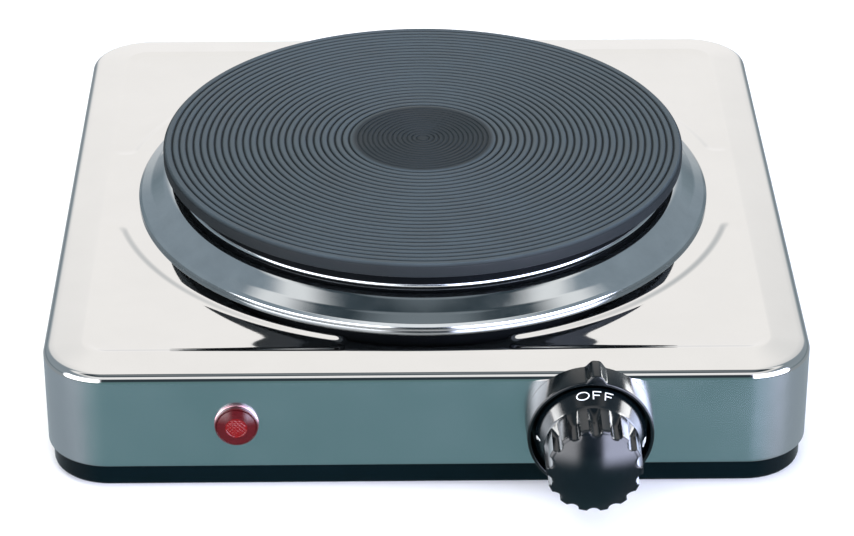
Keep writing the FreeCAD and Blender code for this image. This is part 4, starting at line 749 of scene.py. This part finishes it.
@dataclass
class CookingPlate:
    """The cast plate with its turned grooves, and the spun ring that it stands in."""

    rim: float = 4.8
    overhang: float = 6.0
    bevel: float = 1.0
    casting: float = 14.0
    crown: float = 6.4
    channel_inner: float = 30.0
    channel_wall: float = 6.0
    stud: float = 3.0
    stud_depth: float = 8.0
    fine_pitch: float = 1.7
    fine_depth: float = 0.35
    fine_radius: float = 25.0
    pitch: float = 2.45
    depth: float = 0.5
    land_share: float = 0.45
    columns: int = 288

    def __post_init__(self) -> None:
        """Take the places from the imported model."""
        low, high = corners_of("hot_plate")
        ring_low, ring_high = corners_of("trim_ring")
        self.radius = float(high[0] - low[0]) / 2.0
        self.top = float(high[2])
        self.ring_radius = float(ring_high[0] - ring_low[0]) / 2.0
        self.deck = float(ring_low[2])
        self.axis = Axis(0.0, float(high[1] + low[1]) / 2.0, 0.0, Facing.UP)

    def grooves(self, start: float, stop: float, pitch: float, depth: float, steps: int) -> np.ndarray:
        """Rows of (radius, height) over a zone of turned grooves.

        Within each pitch, p from 0 to 1, the surface falls by depth sin^2(pi p / g) while p is
        less than the groove's share g, and is flat on the land.

        Args:
            start: where the first groove begins.
            stop: where the last may end.
            pitch: grooves apart.
            depth: the grooves' depth.
            steps: points for each groove.

        Returns:
            The rows.
        """
        count = int((stop - start) / pitch)
        part = np.tile(np.arange(steps) / steps, count)
        radius = start + (np.repeat(np.arange(count), steps) + part) * pitch
        groove = 1.0 - self.land_share
        cut = np.where(part < groove, np.sin(math.pi * part / groove) ** 2, 0.0)
        return np.stack([radius, self.top - depth * cut], axis=1)

    def build_casting(self) -> bpy.types.Object:
        """Make the cast plate: crown, grooves, rim, neck and the heater's channel."""
        neck = self.radius - self.overhang
        low = self.top - self.casting
        channel_top = self.top - self.crown
        outer = neck - self.channel_wall
        edge = self.radius - self.bevel
        crown = np.concatenate(
            [
                [[0.0, self.top], [self.fine_pitch * 0.6, self.top]],
                self.grooves(self.fine_pitch, self.fine_radius, self.fine_pitch, self.fine_depth, 6),
                self.grooves(self.fine_radius, edge, self.pitch, self.depth, 8),
            ]
        )
        side = rounded_line(
            [
                (crown[-1, 0] + 0.2, self.top, 0.0),
                (edge, self.top, 0.35),
                (self.radius, self.top - self.bevel, 0.5),
                (self.radius, self.top - self.rim, 0.5),
                (neck, self.top - self.rim, 0.6),
                (neck, low, 0.3),
                (outer, low, 0.0),
                (outer, channel_top, 0.5),
                (self.channel_inner, channel_top, 0.5),
                (self.channel_inner, low, 0.0),
                (self.stud, low, 0.0),
                (self.stud, low + self.stud_depth, 0.0),
                (0.0, low + self.stud_depth, 0.0),
            ],
            steps=4,
        )
        profile = np.concatenate([crown, side])
        # Painted shade: the second look darkens the grooves with their depth and the middle with the fine
        # grooves, and makes the side and underside near black.
        deep = np.clip((self.top - profile[:, 1]) / self.depth, 0.0, 1.0)
        fine = 0.72 * (profile[:, 0] < self.fine_radius)
        plate_painted_shade = np.where(profile[:, 1] < self.top - self.depth, 0.9, np.maximum(deep, fine))
        grid = self.axis.place(profile[:, :1], round_angles(self.columns)[None, :], profile[:, 1:])
        piece = skin("cooking_plate", grid, wear_and_shade=plate_painted_shade[:, None])
        CAST_IRON.dress(piece)
        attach(piece, "root")
        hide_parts("hot_plate")
        return piece

    def build_ring(self) -> bpy.types.Object:
        """Make the spun ring: collar, flat lip, flared flank and rolled edge."""
        collar = self.radius - self.overhang + 0.4
        sheet = 0.6
        lip = self.deck + 8.2
        out = self.ring_radius
        deck = self.deck
        profile = rounded_line(
            [
                (collar, self.top - self.rim - 0.3, 0.0),
                (collar + sheet, self.top - self.rim - 0.3, 0.2),
                (collar + sheet, lip, 1.2),
                (collar + sheet + 3.9, lip, 7.0),
                (out - 4.4, deck + 3.9, 6.0),
                (out - 1.0, deck + 2.3, 0.9),
                (out, deck + 1.3, 0.8),
                (out, deck, 0.1),
                (out - sheet, deck, 0.1),
                (out - sheet, deck + 1.0, 0.5),
                (out - 1.3, deck + 1.6, 0.5),
                (out - 5.0, deck + 3.2, 5.0),
                (collar + sheet + 3.4, lip - sheet, 1.5),
                (collar, lip - sheet, 0.6),
                (collar, lip, 0.0),
            ],
            steps=9,
        )
        # Painted shade: the collar above the lip takes the near-black second look, standing in for the shade
        # in the gap under the plate's rim.
        collar_painted_shade = smoothstep((profile[:, 1] - lip - 0.7) / 0.5)[:, None]
        grid = self.axis.place(profile[:, :1], round_angles(320)[None, :], profile[:, 1:])
        piece = skin("trim_ring_skin", grid, ring=True, wear_and_shade=collar_painted_shade)
        SPUN_STEEL.dress(piece)
        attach(piece, "root")
        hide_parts("trim_ring")
        return piece


# ---- knob --------------------------------------------------------------------------------------


def digit_strokes() -> dict[str, list[np.ndarray]]:
    """The strokes of the dial's marks, each in a box 1 wide and 1 high.

    Round strokes are parts of ellipses: (cx + a cos t, cy + b sin t).

    Returns:
        For each mark, its strokes as rows of (x, y).
    """

    def oval(cx: float, cy: float, a: float, b: float, first: float, last: float) -> np.ndarray:
        t = np.radians(np.linspace(first, last, 25))
        return np.stack([cx + a * np.cos(t), cy + b * np.sin(t)], axis=1)

    def line(*points: tuple[float, float]) -> np.ndarray:
        return np.array(points, dtype=float)

    return {
        "O": [oval(0.5, 0.5, 0.5, 0.5, 0.0, 360.0)],
        "F": [line((0.0, 0.0), (0.0, 1.0), (1.0, 1.0)), line((0.0, 0.52), (0.8, 0.52))],
        "1": [line((0.2, 0.75), (0.6, 1.0), (0.6, 0.0))],
        "2": [
            np.concatenate(
                [oval(0.5, 0.72, 0.5, 0.28, 170.0, -35.0), line((0.0, 0.0), (1.0, 0.0))]
            )
        ],
        "3": [oval(0.45, 0.76, 0.5, 0.24, 150.0, -90.0), oval(0.45, 0.26, 0.55, 0.26, 90.0, -150.0)],
        "4": [line((0.75, 0.0), (0.75, 1.0), (0.0, 0.3), (1.0, 0.3))],
        "5": [
            np.concatenate(
                [line((0.95, 1.0), (0.15, 1.0), (0.1, 0.55)), oval(0.45, 0.32, 0.55, 0.32, 120.0, -150.0)]
            )
        ],
    }


@dataclass
class Control:
    """The knob with its dial, and the collar that carries the pointer."""

    collar_radius: float = 20.5
    collar_taper: float = 0.35
    collar_depth: float = 9.2
    collar_wall: float = 1.3
    collar_floor: float = 1.5
    collar_hole: float = 4.6
    nub_rise: float = 2.2
    nub_top: float = 0.7
    nub_flare: float = 3.7
    nub_turn: float = 4.0
    wall: float = 2.0
    back: float = 8.0
    grip_start: float = 16.8
    grip_inset: float = 2.75
    cap_inset: float = 0.9
    cap_rise: float = 3.2
    reach: float = 32.6
    flutes: int = 14
    flute_depth: float = 1.8
    flute_radius: float = 2.1
    hub: float = 6.0
    spindle: float = 3.0
    spindle_reach: float = 22.0
    mark_turn: float = 2.5
    mark_start: float = 2.3
    mark_height: float = 3.0
    mark_line: float = 0.36

    def __post_init__(self) -> None:
        """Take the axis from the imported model."""
        low, high = corners_of("knob")
        wall = corners_of("top_housing")[0][1]
        self.axis = Axis(
            float(low[0] + high[0]) / 2.0, float(wall), float(low[2] + high[2]) / 2.0, Facing.FRONT
        )
        self.skirt = float(high[0] - low[0]) / 2.0
        self.grip = self.skirt - self.grip_inset
        self.cap = self.grip - self.cap_inset

    def build_collar(self) -> bpy.types.Object:
        """Make the collar: a turned cup whose outer face swells into the pointer.

        At the distance d across the pointer, the radius grows by
        rise * smoothstep((flare - d) / (flare - top)), on the outer face only.

        Returns:
            The object.
        """
        outer, inner = self.collar_radius, self.collar_radius - self.collar_wall
        depth, floor = self.collar_depth, self.collar_floor
        profile = rounded_line(
            [
                (self.collar_hole, 0.0, 0.0),
                (outer, 0.0, 0.15),
                (outer - self.collar_taper, depth, 0.55),
                (inner - self.collar_taper, depth, 0.45),
                (inner, floor, 0.8),
                (self.collar_hole, floor, 0.3),
                (self.collar_hole, floor / 2.0, 0.0),
            ],
            steps=6,
        )
        angle = round_angles(360)
        turn = np.angle(np.exp(1j * (angle - math.radians(self.nub_turn))))
        across = np.abs(turn) * outer
        swell = self.nub_rise * smoothstep((self.nub_flare - across) / (self.nub_flare - self.nub_top))
        share = smoothstep((profile[:, 0] - inner) / (outer - inner - 0.6))
        radius = profile[:, :1] + share[:, None] * swell[None, :]
        grid = self.axis.place(radius, angle[None, :], profile[:, 1:])
        piece = skin("knob_collar_cup", grid, ring=True)
        SATIN_PHENOLIC.dress(piece)
        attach(piece, "root")
        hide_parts("knob_collar")
        return piece

    def front_profile(self) -> np.ndarray:
        """The knob's outside, from the middle of its cap to the edge of its skirt.

        The cap is an arc of radius (c^2 + k^2) / 2k, for the cap's radius c and rise k.

        Returns:
            Rows of (radius, height).
        """
        ball = (self.cap**2 + self.cap_rise**2) / (2.0 * self.cap_rise)
        spread = np.linspace(0.0, math.asin(self.cap / ball), 26)
        dome = np.stack([ball * np.sin(spread), self.reach - ball * (1.0 - np.cos(spread))], 1)
        cap_low = self.reach - self.cap_rise
        grip = rounded_line(
            [
                (self.cap + 0.02, cap_low, 0.0),
                (self.grip, cap_low - self.cap_inset * 0.8, 0.5),
                (self.grip, self.grip_start + 4.0, 0.0),
                (self.grip, self.grip_start - 1.0, 4.5),
                (self.skirt - 0.9, self.back + 2.6, 5.0),
                (self.skirt, self.back, 0.5),
                (self.skirt - self.wall, self.back, 0.0),
            ],
            steps=10,
        )
        straight = np.linspace(self.grip_start + 4.0, cap_low - self.cap_inset, 9)[1:-1, None]
        column = np.concatenate([np.full_like(straight, self.grip), straight], axis=1)[::-1]
        split = int(np.argmin(np.abs(grip[:, 1] - self.grip_start - 4.0)))
        return np.concatenate([dome, grip[:split], column, grip[split:]])

    def build_knob(self) -> bpy.types.Object:
        """Make the knob: domed cap, fluted grip, flared skirt, and the hub inside.

        A flute is a circle of radius f round the distance c = grip - depth + f from the axis. At
        the angle a from its middle its radius is c cos a - sqrt(f^2 - (c sin a)^2), and the
        rounded lower one of that and the plain profile is taken.

        Returns:
            The object.
        """
        front = self.front_profile()
        inner = self.skirt - self.wall
        hollow = self.grip_start - self.wall
        behind = rounded_line(
            [
                (inner, self.back, 0.0),
                (inner - self.wall, hollow, 1.0),
                (self.hub, hollow, 0.6),
                (self.hub, self.back - 1.8, 0.3),
                (self.spindle, self.back - 1.8, 0.2),
                (self.spindle, self.spindle_reach, 0.0),
                (0.0, self.spindle_reach, 0.0),
            ],
            steps=4,
        )
        angle = round_angles(self.flutes * 26)
        step = 2.0 * math.pi / self.flutes
        turn = (angle + step / 2.0) % step - step / 2.0
        centre = self.grip - self.flute_depth + self.flute_radius
        half = np.clip(self.flute_radius**2 - (centre * np.sin(turn)) ** 2, 0.0, None)
        flute = np.where(half > 0.0, centre * np.cos(turn) - np.sqrt(half), centre + 1.0)
        plain = front[:, :1]
        runs_out = smoothstep((front[:, 1:] - self.grip_start + 0.6) / 2.4)
        cut = smooth_min(plain, np.broadcast_to(flute, (len(plain), len(flute))), 0.55)
        cut = np.where(plain < 0.01, plain, cut)
        radius = np.minimum(plain + (cut - plain) * runs_out, plain)
        solid = np.concatenate([radius, np.broadcast_to(behind[:, :1], (len(behind), len(angle)))])
        height = np.concatenate([front[:, 1:], behind[:, 1:]])
        piece = skin("knob_moulding", self.axis.place(solid, angle[None, :], height), sharp=50.0)
        PHENOLIC.dress(piece)
        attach(piece, "knob_assembly")
        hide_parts("knob")
        return piece

    def build_marks(self) -> bpy.types.Object:
        """Make the dial's marks: OFF at the pointer and 1 to 5 round the skirt.

        Each stroke is a ribbon. Its place (u, v) on the flat becomes an angle u / r and a length v
        along the skirt's profile, lifted a little off the surface.

        Returns:
            The object.
        """
        profile = self.front_profile()
        profile = profile[(profile[:, 1] < self.grip_start - 0.5) & (profile[:, 0] > self.grip - 0.5)]
        profile = profile[-2::-1]
        walked = np.concatenate([[0.0], np.cumsum(np.hypot(*np.diff(profile, axis=0).T))])
        shapes = digit_strokes()
        wide, narrow, gap = 3.9, 2.5, 1.35
        word = [("O", wide, 0.0), ("F", narrow, wide + gap), ("F", narrow, wide + narrow + 2.0 * gap)]
        length = wide + 2.0 * narrow + 2.0 * gap
        strokes = []
        for letter, width, start in word:
            for stroke in shapes[letter]:
                u = stroke[:, 0] * width + start - length / 2.0
                strokes.append((0.0, np.stack([u, stroke[:, 1] * self.mark_height], 1)))
        for number in range(1, 6):
            for stroke in shapes[str(number)]:
                flat = np.stack([(stroke[:, 0] - 0.5) * narrow, stroke[:, 1] * self.mark_height], 1)
                strokes.append((-45.0 * (number + 1), flat))
        points, faces, count = [], [], 0
        for turn, stroke in strokes:
            ribbon = self.ribbon(stroke)
            u, v = ribbon[..., 0], ribbon[..., 1]
            along = self.mark_start + self.mark_height - v
            radius = np.interp(along, walked, profile[:, 0])
            height = np.interp(along, walked, profile[:, 1])
            angle = math.radians(self.mark_turn + turn) + u / (self.skirt - 1.2)
            lifted = self.axis.place(radius + 0.05, angle, height + 0.02)
            points.append(lifted.reshape(-1, 3))
            here = np.arange(len(stroke_rows(stroke)) - 1) * 2 + count
            faces.append(np.stack([here, here + 1, here + 3, here + 2], axis=1))
            count += lifted.shape[0] * lifted.shape[1]
        mesh = bpy.data.meshes.new("dial_marks")
        mesh.from_pydata((np.concatenate(points) * MM).tolist(), [], np.concatenate(faces).tolist())
        piece = finished("dial_marks", mesh, 60.0)
        face_away(mesh, self.axis)
        thick = piece.modifiers.new("thickness", "SOLIDIFY")
        thick.thickness = 0.08 * MM
        thick.offset = -1.0
        DIAL_PAINT.dress(piece)
        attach(piece, "knob_assembly")
        return piece

    def ribbon(self, stroke: np.ndarray) -> np.ndarray:
        """A stroke's two edges: each point moved half a line's width to either side.

        Args:
            stroke: rows of (u, v).

        Returns:
            An array of points by two edges by (u, v).
        """
        line = stroke_rows(stroke)
        way = np.gradient(line, axis=0)
        way /= np.maximum(np.linalg.norm(way, axis=1, keepdims=True), 1e-9)
        side = np.stack([-way[:, 1], way[:, 0]], axis=1) * self.mark_line / 2.0
        return np.stack([line + side, line - side], axis=1)


def stroke_rows(stroke: np.ndarray, step: float = 0.25) -> np.ndarray:
    """A stroke divided into steps of equal length."""
    walked = np.concatenate([[0.0], np.cumsum(np.hypot(*np.diff(stroke, axis=0).T))])
    wanted = np.linspace(0.0, walked[-1], max(int(walked[-1] / step), 2) + 1)
    return np.stack([np.interp(wanted, walked, stroke[:, k]) for k in (0, 1)], axis=1)


def face_away(mesh: bpy.types.Mesh, axis: Axis) -> None:
    """Turn a ribbon's faces so that each points away from the axis."""
    form = bmesh.new()
    form.from_mesh(mesh)
    middle = Vector((axis.x * MM, 0.0, axis.z * MM))
    inward = []
    for face in form.faces:
        away = face.calc_center_median() - middle
        away.y = 0.0
        if face.normal.dot(away) < 0.0:
            inward.append(face)
    bmesh.ops.reverse_faces(form, faces=inward)
    form.to_mesh(mesh)
    form.free()


# ---- pilot lamp --------------------------------------------------------------------------------


@dataclass
class PilotLamp:
    """The red lens with its prismatic middle, and its bright bezel."""

    flange: float = 7.15
    bezel: float = 0.45
    lens: float = 6.85
    reach: float = 3.0
    tube: float = 5.4
    wall: float = 1.0
    length: float = 24.0
    prism_radius: float = 3.3
    prism_pitch: float = 0.95
    prism_depth: float = 0.22

    def __post_init__(self) -> None:
        """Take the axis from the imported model."""
        low, high = corners_of("lamp_lens")
        wall = corners_of("top_housing")[0][1]
        self.axis = Axis(
            float(low[0] + high[0]) / 2.0, float(wall), float(low[2] + high[2]) / 2.0, Facing.FRONT
        )

    def build_lens(self) -> bpy.types.Object:
        """Make the lens: a low drum with a shallow crown and small pyramids in its middle.

        The crown falls by 1.1 (r / R)^2. Inside the prismatic disc the face falls by a further
        depth (|cos(pi x / p)| + |cos(pi y / p)|) / 2, faded out at the disc's edge.

        Returns:
            The object.
        """
        spread = np.concatenate(
            [np.linspace(0.0, self.prism_radius, 34), np.linspace(self.prism_radius + 0.1, 6.2, 12)]
        )
        angle = round_angles(144)
        crown = self.reach - 1.1 * (spread / self.lens) ** 2
        x, y = spread[:, None] * np.sin(angle), spread[:, None] * np.cos(angle)
        slant, back = (x + y) / math.sqrt(2.0), (x - y) / math.sqrt(2.0)
        prism = np.abs(np.cos(math.pi * slant / self.prism_pitch))
        prism = (prism + np.abs(np.cos(math.pi * back / self.prism_pitch))) / 2.0
        inside = smoothstep((self.prism_radius - spread) / 0.2)[:, None]
        face = crown[:, None] - self.prism_depth * prism * inside
        plug = self.tube - self.wall - 0.1
        rest = rounded_line(
            [
                (6.25, self.reach - 1.25, 0.1),
                (6.4, self.reach - 1.25, 0.05),
                (6.45, self.reach - 0.95, 0.1),
                (self.lens, self.reach - 1.0, 0.25),
                (self.lens, self.bezel, 0.1),
                (plug, self.bezel, 0.1),
                (plug, -self.reach, 0.1),
                (plug - self.wall, -self.reach, 0.1),
                (plug - self.wall, self.reach - 1.4, 0.2),
                (0.0, self.reach - 1.4, 0.0),
            ],
            steps=5,
        )
        radius = np.concatenate([spread, rest[:, 0]])[:, None]
        height = np.concatenate([face, np.broadcast_to(rest[:, 1:], (len(rest), len(angle)))])
        # Painted shade: outside the prismatic disc the lens takes the darker red.
        lens_edge_painted_shade = smoothstep((radius - self.prism_radius) / 0.25)
        grid = self.axis.place(radius, angle[None, :], height)
        piece = skin("lamp_lens_moulding", grid, sharp=30.0, wear_and_shade=lens_edge_painted_shade)
        RED_ACRYLIC.dress(piece)
        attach(piece, "root")
        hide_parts("lamp_lens")
        return piece

    def build_body(self) -> bpy.types.Object:
        """Make the bezel with the tube behind it."""
        bore = self.tube - self.wall
        floor = -self.length + 4.0 * self.wall
        profile = rounded_line(
            [
                (0.0, floor, 0.0),
                (bore, floor, 0.3),
                (bore, self.bezel, 0.1),
                (self.flange, self.bezel, 0.35),
                (self.flange, 0.0, 0.05),
                (self.tube, 0.0, 0.05),
                (self.tube, -self.length, 0.4),
                (0.0, -self.length, 0.0),
            ],
            steps=6,
        )
        piece = turned("lamp_bezel", self.axis, profile, 144, False)
        # The bezel's pink colour is a painted reflection of the red lens.
        CHROME_WITH_PAINTED_REFLECTION.dress(piece)
        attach(piece, "root")
        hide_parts("lamp_body")
        return piece


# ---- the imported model's own pieces -----------------------------------------------------------------

CARRIED = {
    ENAMEL: ("base_pan",),
    RUBBER: ("rubber_feet",),
    ZINC: (
        "housing_posts", "base_screws", "plate_cover", "plate_stud", "stud_spacer", "heat_shield",
        "clamp_strap", "stud_washer", "stud_nut", "knob_clip", "thermostat_spindle", "spindle_ring",
        "thermostat_frame", "arm_pivot_pin", "contact_arm", "lamp_clip", "clamp_screws",
        "block_screws", "earth_screw", "earth_nut",
    ),
    BRASS: (
        "plate_terminals", "bush_nut", "thermostat_bush", "fixed_contact", "thermostat_terminals",
        "stack_rivets", "lamp_terminals", "terminal_sleeves", "earth_tag",
    ),
    CERAMIC: (
        "plate_terminal_block", "contact_insulator", "thermostat_cam", "mains_terminal_block",
    ),
    ELEMENT: ("heating_coils",),
    MAGNESIA: ("magnesia_packing",),
    BIMETAL: ("bimetal_strip",),
    BULB_GLASS: ("neon_bulb",),
    RESISTOR: ("lamp_resistor",),
    SATIN_PHENOLIC: ("cord_gland", "gland_nut"),
    BLACK_WIRE: ("wire_heater",),
    BROWN_WIRE: ("wire_live",),
    BLUE_WIRE: ("wire_neutral", "wire_lamp"),
    GREEN_WIRE: ("wire_earth",),
}


def dress_carried() -> None:
    """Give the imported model's own pieces their finishes."""
    for finish, names in CARRIED.items():
        for name in names:
            finish.dress(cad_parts[name])
            log.info("%s: %s", name, finish.name)


# ---- studio ------------------------------------------------------------------------------------


@dataclass(frozen=True)
class Softbox:
    """A soft panel of light, as the part of the surroundings that it fills, in degrees."""

    left: float
    right: float
    low: float
    high: float
    soft: float
    fade: float
    colour: tuple[float, float, float]


@dataclass
class Studio:
    """A pale floor, a soft tent of light with dark gaps in it, and the camera."""

    camera_place: tuple[float, float, float] = (-12.15, -954.6, 559.7)
    camera_aim: tuple[float, float, float] = (1.1, -12.0, 25.7)
    lens: float = 131.86
    strength: float = 1.4
    panel_energy: float = 2.6
    knob_pieces: tuple[bpy.types.Object, ...] = ()

    def build_floor(self) -> None:
        """Make the floor: a plain pale sheet that the polished sides don't mirror."""
        mesh = bpy.data.meshes.new("floor")
        far = 6.0
        mesh.from_pydata(
            [(-far, -far, 0.0), (far, -far, 0.0), (far, far, 0.0), (-far, far, 0.0)],
            [],
            [(0, 1, 2, 3)],
        )
        floor = bpy.data.objects.new("floor", mesh)
        bpy.context.scene.collection.objects.link(floor)
        paper = Finish("matt_white_paper", "#F6F6F5", 0.9, 0.03, 300.0, 0.004, 4.0, 0.01)
        paper.dress(floor)
        floor.visible_glossy = False

    def build_world(self) -> None:
        """Make the surroundings, by elevation and by the side that they lie on.

        Low down they are a blue-grey table. Behind the stove a white sweep rises to 60 degrees,
        the tent's sides are grey with a white strip at the top, and its opening overhead is dark.
        On the camera's side the tent starts higher and has two soft panels.
        """
        world = bpy.data.worlds.new("light_tent")
        bpy.context.scene.world = world
        world.use_nodes = True
        tree = world.node_tree
        tree.nodes.clear()
        way = add_node(tree, "ShaderNodeTexCoord").outputs["Generated"]
        parts = add_node(tree, "ShaderNodeSeparateXYZ", {0: way})
        x, y, z = parts.outputs
        rise = add_node(tree, "ShaderNodeMath", {0: z}, operation="ARCSINE").outputs[0]
        degrees = add_node(tree, "ShaderNodeMath", {0: rise}, operation="DEGREES").outputs[0]
        ahead = add_node(tree, "ShaderNodeMath", {0: y, 1: -1.0}, operation="MULTIPLY").outputs[0]
        turn = add_node(tree, "ShaderNodeMath", {0: x, 1: ahead}, operation="ARCTAN2").outputs[0]
        side = add_node(tree, "ShaderNodeMath", {0: turn}, operation="DEGREES").outputs[0]
        share = add_node(
            tree, "ShaderNodeMapRange",
            {"Value": degrees, "From Min": -90.0, "From Max": 90.0},
        ).outputs["Result"]
        table = (0.112, 0.208, 0.222)
        paler = (0.27, 0.31, 0.34)
        dark = (0.03, 0.045, 0.055)
        overhead = (0.2, 0.23, 0.25)
        behind = self.ramp(
            tree, share,
            [
                (-90.0, paler), (-4.0, paler), (1.0, (0.66, 0.67, 0.69)), (9.0, (0.95, 0.94, 0.94)),
                (62.0, (1.0, 0.99, 0.98)), (71.0, (0.05, 0.07, 0.085)), (75.0, dark),
                (80.0, overhead),
            ],
        )
        beside = self.ramp(
            tree, share,
            [
                (-90.0, paler), (-4.0, paler), (1.0, (0.16, 0.2, 0.23)), (8.0, (0.2, 0.25, 0.28)),
                (16.0, (0.27, 0.32, 0.36)), (55.0, (0.24, 0.29, 0.33)), (59.0, (0.9, 0.9, 0.9)),
                (63.0, (0.9, 0.9, 0.9)), (69.0, (0.05, 0.07, 0.085)), (75.0, dark),
                (80.0, overhead),
            ],
        )
        before = self.ramp(
            tree, share,
            [
                (-90.0, table), (-14.0, table), (-4.0, dark), (29.0, dark),
                (36.0, (0.95, 0.96, 0.98)), (60.0, (0.95, 0.96, 0.98)), (67.0, (0.05, 0.07, 0.085)),
                (76.0, dark), (81.0, overhead),
            ],
        )
        away = add_node(tree, "ShaderNodeMath", {0: side}, operation="ABSOLUTE").outputs[0]
        back = self.band(tree, away, 160.0, 220.0, 10.0)
        near = self.band(tree, side, -44.0, 44.0, 24.0)
        mixed = add_node(
            tree, "ShaderNodeMix", {0: back, 6: beside, 7: behind}, data_type="RGBA"
        ).outputs[2]
        mixed = add_node(
            tree, "ShaderNodeMix", {0: near, 6: mixed, 7: before}, data_type="RGBA"
        ).outputs[2]
        for panel in (
            Softbox(12.0, 74.0, -17.0, 27.0, 3.0, 10.0, (9.5, 10.0, 13.0)),
            Softbox(-74.0, -14.0, -15.0, 25.0, 5.0, 10.0, (6.0, 6.0, 6.3)),
        ):
            across = self.band(tree, side, panel.left, panel.right, panel.soft)
            upward = self.band(tree, degrees, panel.low, panel.high, panel.fade)
            both = add_node(tree, "ShaderNodeMath", {0: across, 1: upward}, operation="MULTIPLY")
            mixed = add_node(
                tree, "ShaderNodeVectorMath",
                {0: both.outputs[0], 1: panel.colour, 2: mixed},
                operation="MULTIPLY_ADD",
            ).outputs[0]
        light = add_node(tree, "ShaderNodeBackground", {0: mixed, 1: self.strength})
        seen = add_node(tree, "ShaderNodeBackground", {0: (1.0, 1.0, 1.0, 1.0), 1: 1.0})
        path = add_node(tree, "ShaderNodeLightPath").outputs["Is Camera Ray"]
        both = add_node(tree, "ShaderNodeMixShader", {0: path, 1: light.outputs[0], 2: seen.outputs[0]})
        add_node(tree, "ShaderNodeOutputWorld", {0: both.outputs[0]})

    def band(self, tree: bpy.types.NodeTree, value, low: float, high: float, soft: float):
        """1 between low and high and 0 outside, with edges 2 * soft wide.

        Args:
            tree: the node tree.
            value: the socket to test.
            low: lower edge.
            high: upper edge.
            soft: half the width of each edge.

        Returns:
            The socket with the share.
        """
        rises = add_node(
            tree, "ShaderNodeMapRange",
            {"Value": value, "From Min": low - soft, "From Max": low + soft},
            interpolation_type="SMOOTHSTEP",
        )
        falls = add_node(
            tree, "ShaderNodeMapRange",
            {"Value": value, "From Min": high - soft, "From Max": high + soft, "To Min": 1.0, "To Max": 0.0},
            interpolation_type="SMOOTHSTEP",
        )
        both = add_node(
            tree, "ShaderNodeMath",
            {0: rises.outputs["Result"], 1: falls.outputs["Result"]},
            operation="MULTIPLY",
        )
        return both.outputs[0]

    def ramp(self, tree: bpy.types.NodeTree, share, stops: list[tuple[float, tuple]]):
        """A colour by elevation.

        Args:
            tree: the node tree.
            share: the elevation as a share of the way from straight down to straight up.
            stops: pairs of elevation in degrees and colour.

        Returns:
            The colour's socket.
        """
        node = add_node(tree, "ShaderNodeValToRGB", {0: share})
        elements = node.color_ramp.elements
        while len(elements) < len(stops):
            elements.new(1.0)
        for element, (elevation, colour) in zip(elements, stops):
            element.position = (elevation + 90.0) / 180.0
        for element, (elevation, colour) in zip(elements, stops):
            element.color = (*colour, 1.0)
        return node.outputs[0]

    def build_lights(self) -> None:
        """Hang one wide soft light over the set, which the polished sheet doesn't mirror."""
        lamp = bpy.data.lights.new("overhead_soft", "AREA")
        lamp.shape = "RECTANGLE"
        lamp.size, lamp.size_y = 1.4, 1.0
        lamp.energy = 16.0
        light = bpy.data.objects.new("overhead_soft", lamp)
        light.location = (-0.25, 0.25, 1.5)
        light.rotation_euler = (Vector((0.0, 0.0, 0.03)) - light.location).to_track_quat("-Z", "Y").to_euler()
        light.visible_glossy = False
        bpy.context.scene.collection.objects.link(light)
        receivers = bpy.data.collections.new("lit_by_side_panels")
        for piece in self.knob_pieces:
            receivers.objects.link(piece)
        for side in (-1.0, 1.0):
            self.build_side_panel(side, receivers)

    def build_side_panel(self, side: float, receivers: bpy.types.Collection) -> None:
        """Stand a small soft panel beside the stove, which lights the knob alone.

        Args:
            side: -1 on the left and 1 on the right.
            receivers: the pieces that it lights.
        """
        lamp = bpy.data.lights.new("side_panel", "AREA")
        lamp.shape = "RECTANGLE"
        lamp.size, lamp.size_y = 0.2, 0.2
        lamp.energy = self.panel_energy
        light = bpy.data.objects.new("side_panel", lamp)
        light.location = (0.05 + side * 0.28, 0.06, 0.095)
        light.rotation_euler = Vector((-side, -0.65, -0.1)).to_track_quat("-Z", "Z").to_euler()
        light.visible_camera = False
        light.light_linking.receiver_collection = receivers
        bpy.context.scene.collection.objects.link(light)

    def build_camera(self) -> None:
        """Place the camera where it looks down on the front of the stove."""
        eye = bpy.data.cameras.new("camera")
        eye.lens = self.lens
        eye.sensor_width = 36.0
        eye.clip_start = 0.01
        camera = bpy.data.objects.new("camera", eye)
        camera.location = Vector(self.camera_place) * MM
        aim = Vector(self.camera_aim) * MM - camera.location
        camera.rotation_euler = aim.to_track_quat("-Z", "Y").to_euler()
        bpy.context.scene.collection.objects.link(camera)
        bpy.context.scene.camera = camera

    def build(self) -> None:
        """Set the whole studio up."""
        scene = bpy.context.scene
        scene.view_settings.view_transform = "Standard"
        scene.view_settings.look = "None"
        self.build_floor()
        self.build_world()
        self.build_lights()
        self.build_camera()


def main() -> None:
    """Build every piece, dress the rest, and set the studio up."""
    logging.basicConfig(level=logging.INFO, format="%(message)s")
    plate, control, lamp = CookingPlate(), Control(), PilotLamp()
    knob_pieces = (control.build_collar(), control.build_knob())
    for piece in (
        Housing().build(),
        plate.build_casting(),
        plate.build_ring(),
        *knob_pieces,
        control.build_marks(),
        lamp.build_lens(),
        lamp.build_body(),
    ):
        log.info("%s: %d faces", piece.name, len(piece.data.polygons))
    dress_carried()
    Studio(knob_pieces=knob_pieces).build()


if __name__ == "__main__":
    main()
